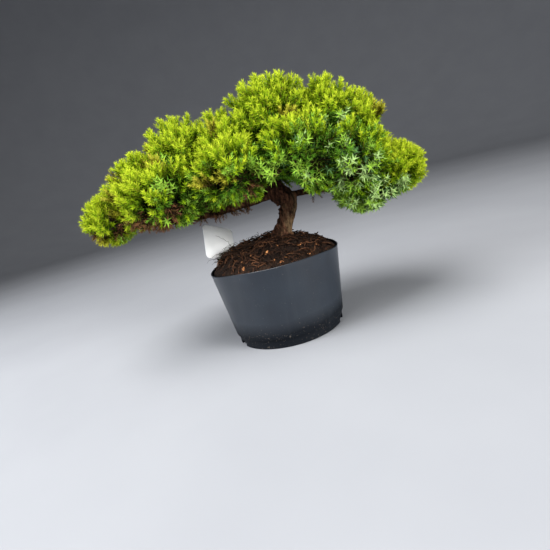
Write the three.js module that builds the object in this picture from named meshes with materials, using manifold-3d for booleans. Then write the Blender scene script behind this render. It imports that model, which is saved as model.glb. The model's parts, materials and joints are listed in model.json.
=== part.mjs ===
// A dwarf juniper trained as a low, wide bonsai: one bent trunk, a long bough to each side and a
// crown of dense needle cushions. It grows in a thin plastic nursery pot that was cut down by hand.
//
// Millimetres, +Z up. The origin is the centre of the pot's flat underside. -Y is the plant's front.

import * as THREE from "three";
import { mergeVertices } from "three/addons/utils/BufferGeometryUtils.js";
import Module from "manifold-3d";

const wasm = await Module();
wasm.setup();

// ---------------------------------------------------------------- driving dimensions

const GAP = 0.3; // clearance between neighbouring pieces
const TOUCH = 0.01; // volume in common, in mm3, from which two solids count as touching

const POT = {
  rimRadius: 65,
  footRadius: 55.4,
  height: 77,
  wall: 1.3,
  floor: 2,
  band: 9, // height of the narrower band round the foot
  bandIn: 1.1, // how far the band lies inside the foot's radius, and the wall above it outside
  rimWave: 1.7, // how far the hand-cut rim strays from level
  sides: 32,
  slots: [22.5, 157.5, 202.5, 337.5], // angles of the drain slots in the bottom edge
  slotWidth: 12,
  slotHeight: 4.5,
  slotDepth: 7,
};

const SOIL = {
  edge: 73, // height where the mound meets the wall
  rise: 21, // from there to the mound's top
  fall: 3, // power of the mound's curve
  lean: 1.2, // how much that power grows towards the left, where the mound is fuller
  lump: 1.6, // height of its bumps
  lumpSize: 6,
  rings: 5,
  sectors: 22,
};

const TRUNK = {
  footLevel: 87,
  // the bends of its centre line, from below the cut to the tip of its leader
  bends: [
    [13, 0, 82],
    [17, 0, 98],
    [24.5, 0, 114],
    [27, 0, 126],
    [18.5, 0, 137],
    [12.5, 1, 149],
    [16, 4, 162],
    [27, 8, 177],
  ],
  footRadius: 9.5,
  waistRadius: 7.7,
  forkRadius: 9.8, // where its boughs leave
  tipRadius: 2.6,
  flare: 9, // how far the root ridges spread past the trunk at the cut
  flareHeight: 17,
  ridges: 5,
  fork: 0.55, // share of its length where it starts to taper
  sides: 15,
  steps: 18,
};

const BOUGH = { sides: 5, steps: 6, tipShare: 0.55, stemRadius: 1.6 };

// The dense middle of a cushion, in shares of the cushion's size.
const CORE = {
  share: 0.79,
  lump: 0.06, // slow swell of its surface
  lumpSize: 0.35,
  tuft: [0.04, 0.19], // least and greatest height of the tufts on it
  detail: 1,
};

const SPRAY = {
  tries: 60, // directions tried for each cushion
  most: 9, // sprays kept of them
  needle: 0.26, // its length as a share of the twig's
  rootRadius: 2.1,
  neckRadius: 1.9,
  bare: 0.74, // share of the twig below its needles
  whorls: 1,
  lift: 0.12, // how much the twig turns upwards
  shortest: 0.89, // least and greatest reach of the twigs, as a share of the cushion's size
  longest: 0.99,
  sunk: 0.4, // share of the twig that may lie anywhere inside the cushion
};

// A cushion's own space: how far it reaches, and how much nearer its own centre must be than a
// neighbour's, both as shares of its size.
const OWN = {
  core: { reach: 1, margin: 0.05 },
  spray: { reach: 1.06, margin: 0.02 },
};

// Gaps in the crown: the one in front through which the trunk shows, the notch over the right tip
// and the hollow under the left one.
const OPENINGS = [
  { centre: [22, -35, 126], radii: [17, 60, 22] },
  { centre: [146, 0, 172], radii: [22, 90, 10] },
  { centre: [-178, 0, 134], radii: [17, 60, 17] },
];

// The crown's cushions. Each fills an ellipsoid, and hangs on a bough that leaves another limb
// at a share of its length and enters on the side given as a direction from the centre. The bough
// has its radius at its root. The top cushion has none, as it sits on the trunk's own tip.
const CUSHIONS = [
  { name: "left_tip", centre: [-141, -5, 151], radii: [27, 33, 25],
    limb: "trunk", at: 0.56, enters: [0.75, 0.1, -0.6], bow: [0, 0, -5], radius: 4.3 },
  { name: "left_outer", centre: [-103, 5, 173], radii: [33, 44, 31],
    limb: "left_tip", at: 0.72, enters: [0.3, 0, -0.85], bow: [0, 0, 0], radius: 2.3 },
  { name: "left_shoulder", centre: [-63, 10, 186], radii: [37, 50, 44],
    limb: "left_tip", at: 0.36, enters: [0.2, 0, -0.88], bow: [-2, 0, 0], radius: 2.6 },
  { name: "front_left", centre: [-83, -38, 159], radii: [43, 33, 30],
    limb: "left_tip", at: 0.47, enters: [0.2, 0.75, -0.45], bow: [0, 0, -2], radius: 2.2 },
  { name: "back_left", centre: [-72, 56, 165], radii: [47, 38, 38],
    limb: "left_tip", at: 0.26, enters: [0.35, -0.75, -0.45], bow: [0, 0, -3], radius: 2.6 },
  { name: "front_centre", centre: [-18, -46, 163], radii: [36, 33, 29],
    limb: "trunk", at: 0.66, enters: [0.4, 0.75, -0.3], bow: [0, 0, 2], radius: 2.7 },
  { name: "top_left", centre: [-18, 8, 183], radii: [35, 52, 40],
    limb: "trunk", at: 0.75, enters: [0.35, -0.1, -0.8], bow: [0, 0, 2], radius: 3 },
  { name: "top", centre: [30, 10, 204], radii: [40, 56, 42],
    limb: "trunk", at: 1, enters: [0, 0, -1], bow: [0, 0, 0], radius: 0 },
  { name: "top_right", centre: [81, 8, 187], radii: [34, 52, 44],
    limb: "trunk", at: 0.86, enters: [-0.8, 0, -0.4], bow: [0, 0, 3], radius: 3 },
  { name: "front_right", centre: [43, -47, 163], radii: [38, 34, 34],
    limb: "trunk", at: 0.8, enters: [-0.2, 0.8, -0.25], bow: [0, 0, 2], radius: 2.6 },
  { name: "back_centre", centre: [8, 64, 172], radii: [46, 38, 42],
    limb: "trunk", at: 0.7, enters: [0.1, -0.8, -0.35], bow: [0, 0, 2], radius: 2.9 },
  { name: "right_tip", centre: [135, -5, 131], radii: [29, 38, 25],
    limb: "trunk", at: 0.5, enters: [-0.85, 0.05, -0.25], bow: [0, 0, 0], radius: 3.3 },
  { name: "right_shoulder", centre: [110, -2, 175], radii: [27, 36, 30],
    limb: "right_tip", at: 0.72, enters: [-0.1, 0, -0.9], bow: [3, 0, 0], radius: 2.1 },
  { name: "right_under", centre: [98, -14, 115], radii: [28, 34, 17],
    limb: "right_tip", at: 0.4, enters: [-0.75, 0.5, 0.35], bow: [0, 0, 0], radius: 2.1 },
  { name: "front_far", centre: [87, -40, 150], radii: [32, 33, 29],
    limb: "right_tip", at: 0.42, enters: [-0.2, 0.75, -0.3], bow: [0, 0, -1], radius: 2.2 },
  { name: "back_right", centre: [84, 56, 161], radii: [46, 38, 39],
    limb: "right_tip", at: 0.32, enters: [-0.3, -0.8, -0.3], bow: [0, 0, -1], radius: 2.5 },
];

// A blank plastic label, pushed into the left of the mound and leaning back over the rim.
const LABEL = {
  root: [-54.2, -3.3, 59.3],
  along: [0.049, 0.597, 0.801], // from the root to the head
  across: [0.765, 0.493, -0.414], // the head's width
  stem: 30,
  stemWidth: 11,
  headLength: 40,
  headWidth: 35,
  corner: 4.5,
  thick: 0.9,
};

const SUNLIT_FROM = 174; // height of a cushion's centre from which it is bright

const COLOUR = {
  pot: 0x3b4248,
  soil: 0x2f2019,
  bark: 0x4d392a,
  label: 0xd6d9dc,
  sunlit: 0x9dbb2c,
  shaded: 0x5f8a4a,
};

// ---------------------------------------------------------------- helpers

const vector = (numbers) => new THREE.Vector3(...numbers);

// A repeatable number from 0 to 1 for a seed and a step.
function chance(seed, step) {
  const wave = Math.sin(seed * 127.1 + step * 311.7) * 43758.5453;
  return wave - Math.floor(wave);
}

// A slow, repeatable swell from -1 to 1 over space.
function swell(p, size, seed) {
  const [x, y, z] = [p.x / size, p.y / size, p.z / size];
  return (
    (Math.sin(x + 1.7 * seed + 0.6 * y) +
      Math.sin(y * 1.3 + 2.9 * seed - 0.5 * z) +
      Math.sin(z * 1.1 + 0.8 * seed + 0.7 * x)) /
    3
  );
}

// A closed three.js geometry as a solid for cutting and joining.
function solidOf(geometry) {
  const bare = new THREE.BufferGeometry();
  bare.setAttribute("position", geometry.getAttribute("position"));
  if (geometry.index) bare.setIndex(geometry.index);
  const merged = mergeVertices(bare, 1e-3);
  return new wasm.Manifold(
    new wasm.Mesh({
      numProp: 3,
      vertProperties: new Float32Array(merged.attributes.position.array),
      triVerts: new Uint32Array(merged.index.array),
    }),
  );
}

function geometryOf(solid) {
  const mesh = solid.getMesh();
  const geometry = new THREE.BufferGeometry();
  geometry.setAttribute("position", new THREE.BufferAttribute(mesh.vertProperties, 3));
  geometry.setIndex(new THREE.BufferAttribute(mesh.triVerts, 1));
  return geometry;
}

// The largest body of a solid, without the scraps that a cut can leave.
const largest = (solid) =>
  solid.decompose().reduce((best, body) => (body.volume() > best.volume() ? body : best));

// Wraps a cylinder's skin round a curve: radiusAt(share, side, centre) gives the skin's distance.
// With grow, the limb is that much thicker and goes that much past its tip.
function limbGeometry(curve, radiusAt, sides, steps, grow = 0) {
  const geometry = new THREE.CylinderGeometry(1, 1, 1, sides, steps);
  const frames = curve.computeFrenetFrames(steps, false);
  const position = geometry.getAttribute("position");
  for (let i = 0; i < position.count; i += 1) {
    const share = position.getY(i) + 0.5;
    const step = Math.round(share * steps);
    const centre = curve.getPointAt(share);
    const side = new THREE.Vector3();
    const reach = Math.hypot(position.getX(i), position.getZ(i));
    if (reach > 0.5) {
      const angle = Math.atan2(position.getX(i), position.getZ(i));
      side.addScaledVector(frames.normals[step], Math.cos(angle));
      side.addScaledVector(frames.binormals[step], Math.sin(angle));
      side.multiplyScalar(radiusAt(share, side, centre) + grow);
    }
    if (step === steps) centre.addScaledVector(frames.tangents[step], grow);
    position.setXYZ(i, centre.x + side.x, centre.y + side.y, centre.z + side.z);
  }
  return geometry;
}

// ---------------------------------------------------------------- pot, soil and label

// The rim's height over its level at an angle round the pot.
const rimWave = (angle) =>
  POT.rimWave * (0.2 * Math.sin(5 * angle) - Math.cos(2 * angle) - 0.3 * Math.cos(angle));

// The wall's outer radius at a height: a narrow band round the foot, then a straight flare.
function wallRadius(z) {
  const { rimRadius, footRadius, height, band, bandIn } = POT;
  if (z <= band) return footRadius - bandIn;
  return THREE.MathUtils.mapLinear(z, band + 1, height, footRadius + bandIn, rimRadius);
}

function potSolid() {
  const { footRadius, height, wall, floor, band } = POT;
  const profile = [
    [0, 0],
    [wallRadius(0), 0],
    [wallRadius(band), band],
    [wallRadius(band + 1), band + 1],
    [wallRadius(height), height],
    [wallRadius(height) - wall, height],
    [wallRadius(band + 1) - wall, band + 1],
    [wallRadius(floor) - wall, floor],
    [0, floor],
  ].map(([r, z]) => new THREE.Vector2(r, z));
  const shell = new THREE.LatheGeometry(profile, POT.sides).rotateX(Math.PI / 2);
  const position = shell.getAttribute("position");
  for (let i = 0; i < position.count; i += 1) {
    if (position.getZ(i) < height - 1) continue;
    const angle = Math.atan2(position.getY(i), position.getX(i));
    position.setZ(i, height + rimWave(angle));
  }
  let pot = solidOf(shell);
  for (const angle of POT.slots) {
    const slot = new THREE.BoxGeometry(POT.slotDepth, POT.slotWidth, 2 * POT.slotHeight)
      .translate(footRadius, 0, 0)
      .rotateZ(THREE.MathUtils.degToRad(angle));
    pot = pot.subtract(solidOf(slot));
  }
  return pot;
}

// The soil's radius at a height, clear of the middles of the wall's flat sides.
const soilRadius = (z) => (wallRadius(z) - POT.wall) * Math.cos(Math.PI / POT.sides) - GAP;

// The mound's height at a place, without its bumps.
function moundHeight(x, y) {
  const radius = soilRadius(SOIL.edge);
  const power = SOIL.fall - (SOIL.lean * x) / radius;
  return SOIL.edge + SOIL.rise * (1 - (Math.hypot(x, y) / radius) ** power);
}

function soilSolid() {
  const { edge, rings } = SOIL;
  const base = POT.floor + GAP;
  const profile = [
    [0, base],
    [soilRadius(base), base],
    [soilRadius(POT.band + 1), POT.band + 1],
    [soilRadius(edge), edge],
  ];
  for (let ring = rings - 1; ring >= 0; ring -= 1) {
    profile.push([soilRadius(edge) * (ring / rings), edge + 1]);
  }
  const points = profile.map(([r, z]) => new THREE.Vector2(r, z));
  const lathe = new THREE.LatheGeometry(points, SOIL.sectors).rotateX(Math.PI / 2);
  const position = lathe.getAttribute("position");
  for (let i = 0; i < position.count; i += 1) {
    const p = new THREE.Vector3().fromBufferAttribute(position, i);
    if (p.z <= edge) continue;
    p.z = moundHeight(p.x, p.y);
    position.setZ(i, p.z + SOIL.lump * swell(p, SOIL.lumpSize, 3));
  }
  return solidOf(lathe);
}

// The label as a flat tee with round corners: its stem starts at the root, grow makes it fatter.
function labelSolid(grow = 0) {
  const along = vector(LABEL.along).normalize();
  const across = vector(LABEL.across);
  across.addScaledVector(along, -across.dot(along)).normalize();
  const up = new THREE.Vector3().crossVectors(along, across);
  const half = LABEL.headWidth / 2 + grow;
  const stem = LABEL.stemWidth / 2 + grow;
  const neck = LABEL.stem - grow;
  const end = LABEL.stem + LABEL.headLength + grow;
  const c = LABEL.corner;
  const shape = new THREE.Shape()
    .moveTo(-grow, 0)
    .lineTo(stem, -stem)
    .lineTo(neck, -stem)
    .lineTo(neck, c - half)
    .absarc(neck + c, c - half, c, Math.PI, 1.5 * Math.PI, false)
    .absarc(end - c, c - half, c, -0.5 * Math.PI, 0, false)
    .absarc(end - c, half - c, c, 0, 0.5 * Math.PI, false)
    .absarc(neck + c, half - c, c, 0.5 * Math.PI, Math.PI, false)
    .lineTo(neck, stem)
    .lineTo(stem, stem)
    .closePath();
  const depth = LABEL.thick + 2 * grow;
  const plate = new THREE.ExtrudeGeometry(shape, { depth, bevelEnabled: false, curveSegments: 4 });
  plate.translate(0, 0, -depth / 2);
  const place = new THREE.Matrix4().makeBasis(along, across, up).setPosition(vector(LABEL.root));
  return solidOf(plate.applyMatrix4(place));
}

// ---------------------------------------------------------------- trunk and boughs

const trunkCurve = new THREE.CatmullRomCurve3(TRUNK.bends.map(vector), false, "centripetal");

// Root ridges near the cut, a waist, a thick fork, and a taper to the leader's tip.
function trunkRadius(share, side, centre) {
  const lift = Math.max(0, 1 - (centre.z - TRUNK.footLevel) / TRUNK.flareHeight);
  const angle = Math.atan2(side.y, side.x);
  const ridge = 0.5 + 0.5 * Math.cos(TRUNK.ridges * angle + 0.9);
  const upper = Math.max(0, (share - TRUNK.fork) / (1 - TRUNK.fork));
  const thick = THREE.MathUtils.smoothstep(share, TRUNK.fork / 2, TRUNK.fork);
  const below = THREE.MathUtils.lerp(TRUNK.waistRadius, TRUNK.forkRadius, thick);
  const waist = THREE.MathUtils.lerp(below, TRUNK.tipRadius, upper ** 0.8);
  const foot = (TRUNK.footRadius - TRUNK.waistRadius) * Math.min(1, lift * 2);
  return waist + foot + TRUNK.flare * Math.min(1, lift) ** 2 * (0.35 + 0.65 * ridge);
}

function trunkSolid(grow = 0) {
  const { sides, steps } = TRUNK;
  const whole = solidOf(limbGeometry(trunkCurve, trunkRadius, sides, steps, grow));
  return whole.trimByPlane([0, 0, 1], TRUNK.footLevel - grow);
}

// A point of a cushion's ellipsoid: its centre plus a direction, scaled to a share of its size.
const inCushion = (cushion, direction, share) =>
  vector(cushion.centre).add(direction.clone().multiply(vector(cushion.radii)).multiplyScalar(share));

const limbs = new Map([["trunk", { curve: trunkCurve, solid: trunkSolid(), grown: trunkSolid(GAP) }]]);

for (const cushion of CUSHIONS) {
  const parent = limbs.get(cushion.limb);
  const from = parent.curve.getPointAt(cushion.at);
  if (cushion.radius === 0) {
    cushion.entry = from;
    continue;
  }
  cushion.entry = inCushion(cushion, vector(cushion.enters).normalize(), CORE.share);
  const middle = from.clone().lerp(cushion.entry, 0.5).add(vector(cushion.bow).multiplyScalar(2));
  const curve = new THREE.QuadraticBezierCurve3(from, middle, cushion.entry);
  const radius = (share) => cushion.radius * (1 - (1 - BOUGH.tipShare) * share);
  const solid = (grow) => solidOf(limbGeometry(curve, radius, BOUGH.sides, BOUGH.steps, grow));
  let bough = solid(0);
  for (const other of limbs.values()) bough = bough.subtract(other.grown);
  limbs.set(cushion.name, { curve, solid: largest(bough), grown: solid(GAP) });
}

const allLimbs = wasm.Manifold.union([...limbs.values()].map((limb) => limb.grown));

// ---------------------------------------------------------------- cushions of needles

// How far out a point lies in a cushion: 0 at its centre and 1 on the skin of its space.
const depthIn = (cushion, p) =>
  p.clone().sub(vector(cushion.centre)).divide(vector(cushion.radii)).length();

// Whether a point is in a cushion's own space, for its core or for its sprays.
function owns(cushion, p, { reach, margin }) {
  const own = depthIn(cushion, p);
  if (own > reach || OPENINGS.some((gap) => depthIn(gap, p) < 1)) return false;
  return CUSHIONS.every((c) => c === cushion || depthIn(c, p) > own + margin);
}

// Directions that stay evenly spread all round, however many of them are used.
function spreadDirection(k, seed) {
  const turn = (step, start) => (start + k * step) % 1;
  const z = 1 - 2 * turn(0.7548777, chance(seed, 1));
  const angle = 2 * Math.PI * turn(0.5698403, chance(seed, 2));
  const flat = Math.sqrt(1 - z * z);
  return new THREE.Vector3(flat * Math.cos(angle), flat * Math.sin(angle), z);
}

// The dense middle: a ball of tufts that stops short of its neighbours.
function coreSolid(cushion, seed) {
  const place = (direction, height) => {
    let share = CORE.share + CORE.lump * swell(direction, CORE.lumpSize, seed) + height;
    while (share > 0.1 && !owns(cushion, inCushion(cushion, direction, share), OWN.core)) {
      share -= 0.02;
    }
    return inCushion(cushion, direction, share);
  };
  const ball = new THREE.IcosahedronGeometry(1, CORE.detail).getAttribute("position");
  const faces = [];
  for (let i = 0; i < ball.count; i += 3) {
    const corners = [i, i + 1, i + 2].map((k) => new THREE.Vector3().fromBufferAttribute(ball, k));
    const middle = corners[0].clone().add(corners[1]).add(corners[2]).normalize();
    const [a, b, c] = corners.map((corner) => place(corner, 0));
    const tuft = place(middle, THREE.MathUtils.lerp(...CORE.tuft, chance(seed, i)));
    faces.push([a, b, tuft], [b, c, tuft], [c, a, tuft]);
  }
  return solidOf(new THREE.BufferGeometry().setFromPoints(faces.flat()));
}

// A twig that leaves the stem and ends in whorls of three needles: a slim three-sided core with a
// needle drawn out of every other face. Each ring is turned half a side from the one before.
function sprayGeometry(curve) {
  const { whorls, bare, rootRadius, neckRadius } = SPRAY;
  const needle = SPRAY.needle * curve.getLength();
  const steps = 20;
  const shares = [0];
  for (let k = 0; k < whorls + 1; k += 1) shares.push(bare + (k / (whorls + 0.8)) * (1 - bare));
  const frames = curve.computeFrenetFrames(steps, false);
  const rings = shares.map((share, ring) => {
    const step = Math.round(share * steps);
    const centre = curve.getPointAt(share);
    const radius = ring === 0 ? rootRadius : neckRadius * (1.15 - 0.5 * share);
    return [0, 1, 2].map((k) => {
      const angle = ((2 * k + ring) * Math.PI) / 3;
      return centre
        .clone()
        .addScaledVector(frames.normals[step], radius * Math.cos(angle))
        .addScaledVector(frames.binormals[step], radius * Math.sin(angle));
    });
  });
  const faces = [[rings[0][2], rings[0][1], rings[0][0]]];
  for (let ring = 0; ring < rings.length - 1; ring += 1) {
    const step = Math.round(shares[ring + 1] * steps);
    for (let k = 0; k < 3; k += 1) {
      const [a, b] = [rings[ring][k], rings[ring][(k + 1) % 3]];
      const [c, d] = [rings[ring + 1][k], rings[ring + 1][(k + 1) % 3]];
      faces.push([c, b, d]);
      if (ring === 0) {
        faces.push([a, b, c]);
        continue;
      }
      const middle = a.clone().add(b).add(c).divideScalar(3);
      const out = middle.clone().sub(curve.getPointAt(shares[ring])).normalize();
      const point = middle
        .addScaledVector(out, 0.72 * needle)
        .addScaledVector(frames.tangents[step], 0.58 * needle);
      faces.push([a, b, point], [b, c, point], [c, a, point]);
    }
  }
  const last = rings[rings.length - 1];
  const tip = curve.getPointAt(1);
  for (let k = 0; k < 3; k += 1) faces.push([last[k], last[(k + 1) % 3], tip]);
  return new THREE.BufferGeometry().setFromPoints(faces.flat());
}

// The way a twig takes from the upper part of the stem to the skin of the cushion's space.
function twigCurve(cushion, stem, k, seed) {
  const direction = spreadDirection(k, seed);
  const share = THREE.MathUtils.lerp(SPRAY.longest, SPRAY.shortest, chance(seed + 9, k));
  const tip = inCushion(cushion, direction, share);
  const root = stem.getPointAt(0.6 + 0.4 * chance(seed + 7, k));
  const elbow = root.clone().lerp(tip, 0.62);
  elbow.z -= SPRAY.lift * tip.distanceTo(root) * (1 - Math.abs(direction.z));
  return new THREE.QuadraticBezierCurve3(root, elbow, tip);
}

// A cushion: its core and stem, and the sprays that stay in its space and clear of every limb.
function cushionSolid(cushion, seed) {
  const stem = new THREE.LineCurve3(cushion.entry, vector(cushion.centre));
  const stemRadius = () => BOUGH.stemRadius;
  const core = coreSolid(cushion, seed);
  const sprays = [];
  for (let k = 0; k < SPRAY.tries && sprays.length < SPRAY.most; k += 1) {
    const curve = twigCurve(cushion, stem, k, seed);
    const geometry = sprayGeometry(curve);
    const position = geometry.getAttribute("position");
    const sunk = SPRAY.sunk * curve.getLength();
    let fits = true;
    for (let i = 0; i < position.count && fits; i += 1) {
      const p = new THREE.Vector3().fromBufferAttribute(position, i);
      fits = p.distanceTo(curve.v0) < sunk || owns(cushion, p, OWN.spray);
    }
    if (!fits) continue;
    const spray = solidOf(geometry);
    if (spray.intersect(allLimbs).volume() < TOUCH) sprays.push(spray);
  }
  const stemSolid = solidOf(limbGeometry(stem, stemRadius, BOUGH.sides, 1));
  return largest(wasm.Manifold.union([core, stemSolid, ...sprays]).subtract(allLimbs));
}

// ---------------------------------------------------------------- the plant

const plant = new THREE.Group();

function add(name, solid, colour, roughness) {
  const material = new THREE.MeshStandardMaterial({ color: colour, roughness, metalness: 0 });
  const mesh = new THREE.Mesh(geometryOf(solid), material);
  mesh.name = name;
  plant.add(mesh);
}

add("pot", potSolid(), COLOUR.pot, 0.45);
add("soil", soilSolid().subtract(trunkSolid(GAP)).subtract(labelSolid(GAP)), COLOUR.soil, 0.95);
add("label", labelSolid(), COLOUR.label, 0.5);
for (const [name, limb] of limbs) {
  add(name === "trunk" ? name : `bough_${name}`, limb.solid, COLOUR.bark, 0.9);
}
CUSHIONS.forEach((cushion, index) => {
  const colour = cushion.centre[2] < SUNLIT_FROM ? COLOUR.shaded : COLOUR.sunlit;
  add(`foliage_${cushion.name}`, cushionSolid(cushion, index + 1), colour, 0.7);
});

export default plant;
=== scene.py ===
"""The looks of a potted juniper bonsai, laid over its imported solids.

Lengths are written in millimetres and scaled to metres by MM. +Z is up, the origin is the centre of
the pot's flat underside, and -Y is the plant's front.
"""

import json
import math

import bmesh
import bpy
import numpy as np
from mathutils import Matrix, Quaternion, Vector, noise

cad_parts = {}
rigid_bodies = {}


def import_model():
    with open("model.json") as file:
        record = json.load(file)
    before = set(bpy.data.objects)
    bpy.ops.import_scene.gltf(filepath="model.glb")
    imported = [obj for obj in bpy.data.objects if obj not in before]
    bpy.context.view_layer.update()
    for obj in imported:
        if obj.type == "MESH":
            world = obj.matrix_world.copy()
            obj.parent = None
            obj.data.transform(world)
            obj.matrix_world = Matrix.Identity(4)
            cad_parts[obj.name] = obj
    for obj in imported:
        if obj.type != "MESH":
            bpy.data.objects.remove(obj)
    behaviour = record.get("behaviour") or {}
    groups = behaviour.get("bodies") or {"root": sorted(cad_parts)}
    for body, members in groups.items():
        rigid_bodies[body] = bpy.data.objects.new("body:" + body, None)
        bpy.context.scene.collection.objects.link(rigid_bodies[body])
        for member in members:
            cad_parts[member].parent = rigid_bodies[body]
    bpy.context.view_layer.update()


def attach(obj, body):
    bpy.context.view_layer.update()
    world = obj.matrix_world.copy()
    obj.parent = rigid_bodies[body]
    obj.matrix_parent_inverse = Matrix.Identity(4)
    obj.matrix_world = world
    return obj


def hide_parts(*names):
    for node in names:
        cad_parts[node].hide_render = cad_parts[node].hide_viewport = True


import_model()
scene = bpy.context.scene

MM = 0.001
GOLDEN_ANGLE = 2.39996  # radians
SEEDS = {"soil": 11, "strewn": 21, "shoots": 31, "growth": 100}  # the first of each kind

# ------------------------------------------------------------------ driving dimensions, in mm

CAMERA = {
    "place": (0, -400.905, 151.806),
    "turn": -0.0082348,  # radians, to the left of +Y
    "tip": -0.2328262,  # radians, below level
    "roll": 0.2574609,  # radians, anticlockwise
    "lens": 26.48,
    "sensor": 36,
}

# Lights: name, place and target in metres, size, power in watts, colour.
LIGHTS = (
    ("window_above", (-0.3, -0.25, 1.25), (0, 0, 0.12), (0.9, 0.9), 27, (1, 0.985, 0.96)),
    ("window_left", (-1.15, -0.35, 0.55), (0, 0, 0.1), (0.8, 0.8), 22, (0.96, 0.98, 1)),
    ("window_right", (1.0, -0.95, 0.5), (0, 0, 0.1), (0.6, 0.5), 30, (1, 0.99, 0.97)),
)
STUDIO = {"colour": (0.86, 0.88, 0.92), "strength": 0.27}

# The floor lies flat this far out, then turns up in one soft curve.
FLOOR = {"flat": 2200, "curve": 1500, "steps": 25, "sides": 96}

POT = {
    "rim_radius": 65,
    "foot_radius": 55.4,
    "height": 77,
    "wall": 1.3,
    "floor": 2,
    "band": 9,
    "band_in": 1.1,
    "soft": 0.35,  # rounding of the edges
    "rim_wave": 1.7,
    "sides": 160,
    "slots": (22.5, 157.5, 202.5, 337.5),  # degrees round the foot
    "slot_width": 12,
    "slot_height": 4.5,
    "slot_depth": 7,
}

SOIL = {
    "edge": 73,
    "gap": 0.3,  # between the soil and the pot
    "rise": 21,
    "fall": 3,  # power of the mound's curve
    "lean": 1.2,  # how much that power grows towards the left, where the mound is fuller
    "lump": 1.6,
    "lump_size": 6,
    "crumb": 1.5,
    "crumb_size": 0.32,  # steps of the noise to a mm
    "rings": 70,
    "ground_rings": 40,  # of the copy that bits are strewn on
    "sectors": 220,
}

# What is strewn on the soil: name, its bits and their sizes, its colours from dark to light, number
# on a square metre, and how far out it lies as a share of the soil's radius.
STREWN = (
    ("root_strands_dark", "strands", (9, 19, 0.62, 0.30, 2.6),
     (0.006, 0.003, 0.002), (0.048, 0.022, 0.012), 32000.0, 0.88),
    ("root_strands_brown", "strands", (9, 15, 0.62, 0.26, 2.8),
     (0.040, 0.016, 0.008), (0.185, 0.080, 0.037), 13000.0, 0.88),
    ("bark_crumbs", "chips", (5, 1.6),
     (0.004, 0.002, 0.0015), (0.068, 0.029, 0.015), 110000.0, 0.96),
    ("bark_chips", "chips", (5, 2.6),
     (0.14, 0.050, 0.018), (0.60, 0.26, 0.10), 5200.0, 0.9),
)
BIT_SIZES = {"Smallest": 0.55, "Largest": 1.25}
BIT_LEAN = 0.3  # radians

# Thin roots that stand up out of the soil, and the bends of the one that strays over the label.
HAIRS = {
    "count": 210,
    "from_to": (0.9, 4.0),  # angles round the mound, in radians
    "out": (0.25, 0.86),  # as shares of the soil's radius
    "length": (9, 21),
    "radius": 0.33,
    "tip_radius": 0.1,
    "steps": 12,
    "turn": 0.45,  # radians at each step
    "climb": (1.3, -0.7),  # slope where it leaves the soil and at its end
    "shake": 0.3,
    "stray": (
        (-36, 5, 88), (-37.9, 4, 92.9), (-39.6, 4, 97.7),
        (-42, 3, 102.9), (-46.6, 4, 106.8), (-50.8, 4, 110.3),
    ),
    "stray_steps": 26,
    "stray_shake": 0.35,
    "stray_tip": 0.12,
}

LABEL = {
    "root": (-54.2, -3.3, 59.3),
    "along": (0.049, 0.597, 0.801),
    "across": (0.765, 0.493, -0.414),
    "stem": 30,
    "stem_width": 11,
    "head_length": 40,
    "head_width": 35,
    "corner": 4.5,
    "corner_steps": 9,
    "thick": 0.9,
    "bevel": 0.22,
}

TRUNK = {
    "foot_level": 87,
    "bends": (
        (11.5, 0, 82), (15.5, 0, 98), (24, 0, 114), (27, 0, 126),
        (18.5, 0, 137), (12.5, 1, 149), (16, 4, 162), (27, 8, 177),
    ),
    "foot_radius": 9.5,
    "waist_radius": 7.7,
    "fork_radius": 9.8,
    "tip_radius": 2.6,
    "flare": 7.5,
    "flare_height": 17,
    "ridges": 5,
    "fork": 0.55,
    "sides": 132,
    "steps": 190,
    "relief": 1.5,
    "worn": (113, 16),  # height of the worn patch and half of its length
    "worn_side": (0.75, -0.65, 0.1),
}

BOUGH = {"sides": 18, "steps": 44, "tip_share": 0.55, "relief": 0.1}

CORE_SHARE = 0.79  # where a bough ends, as a share of its cushion's size

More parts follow.
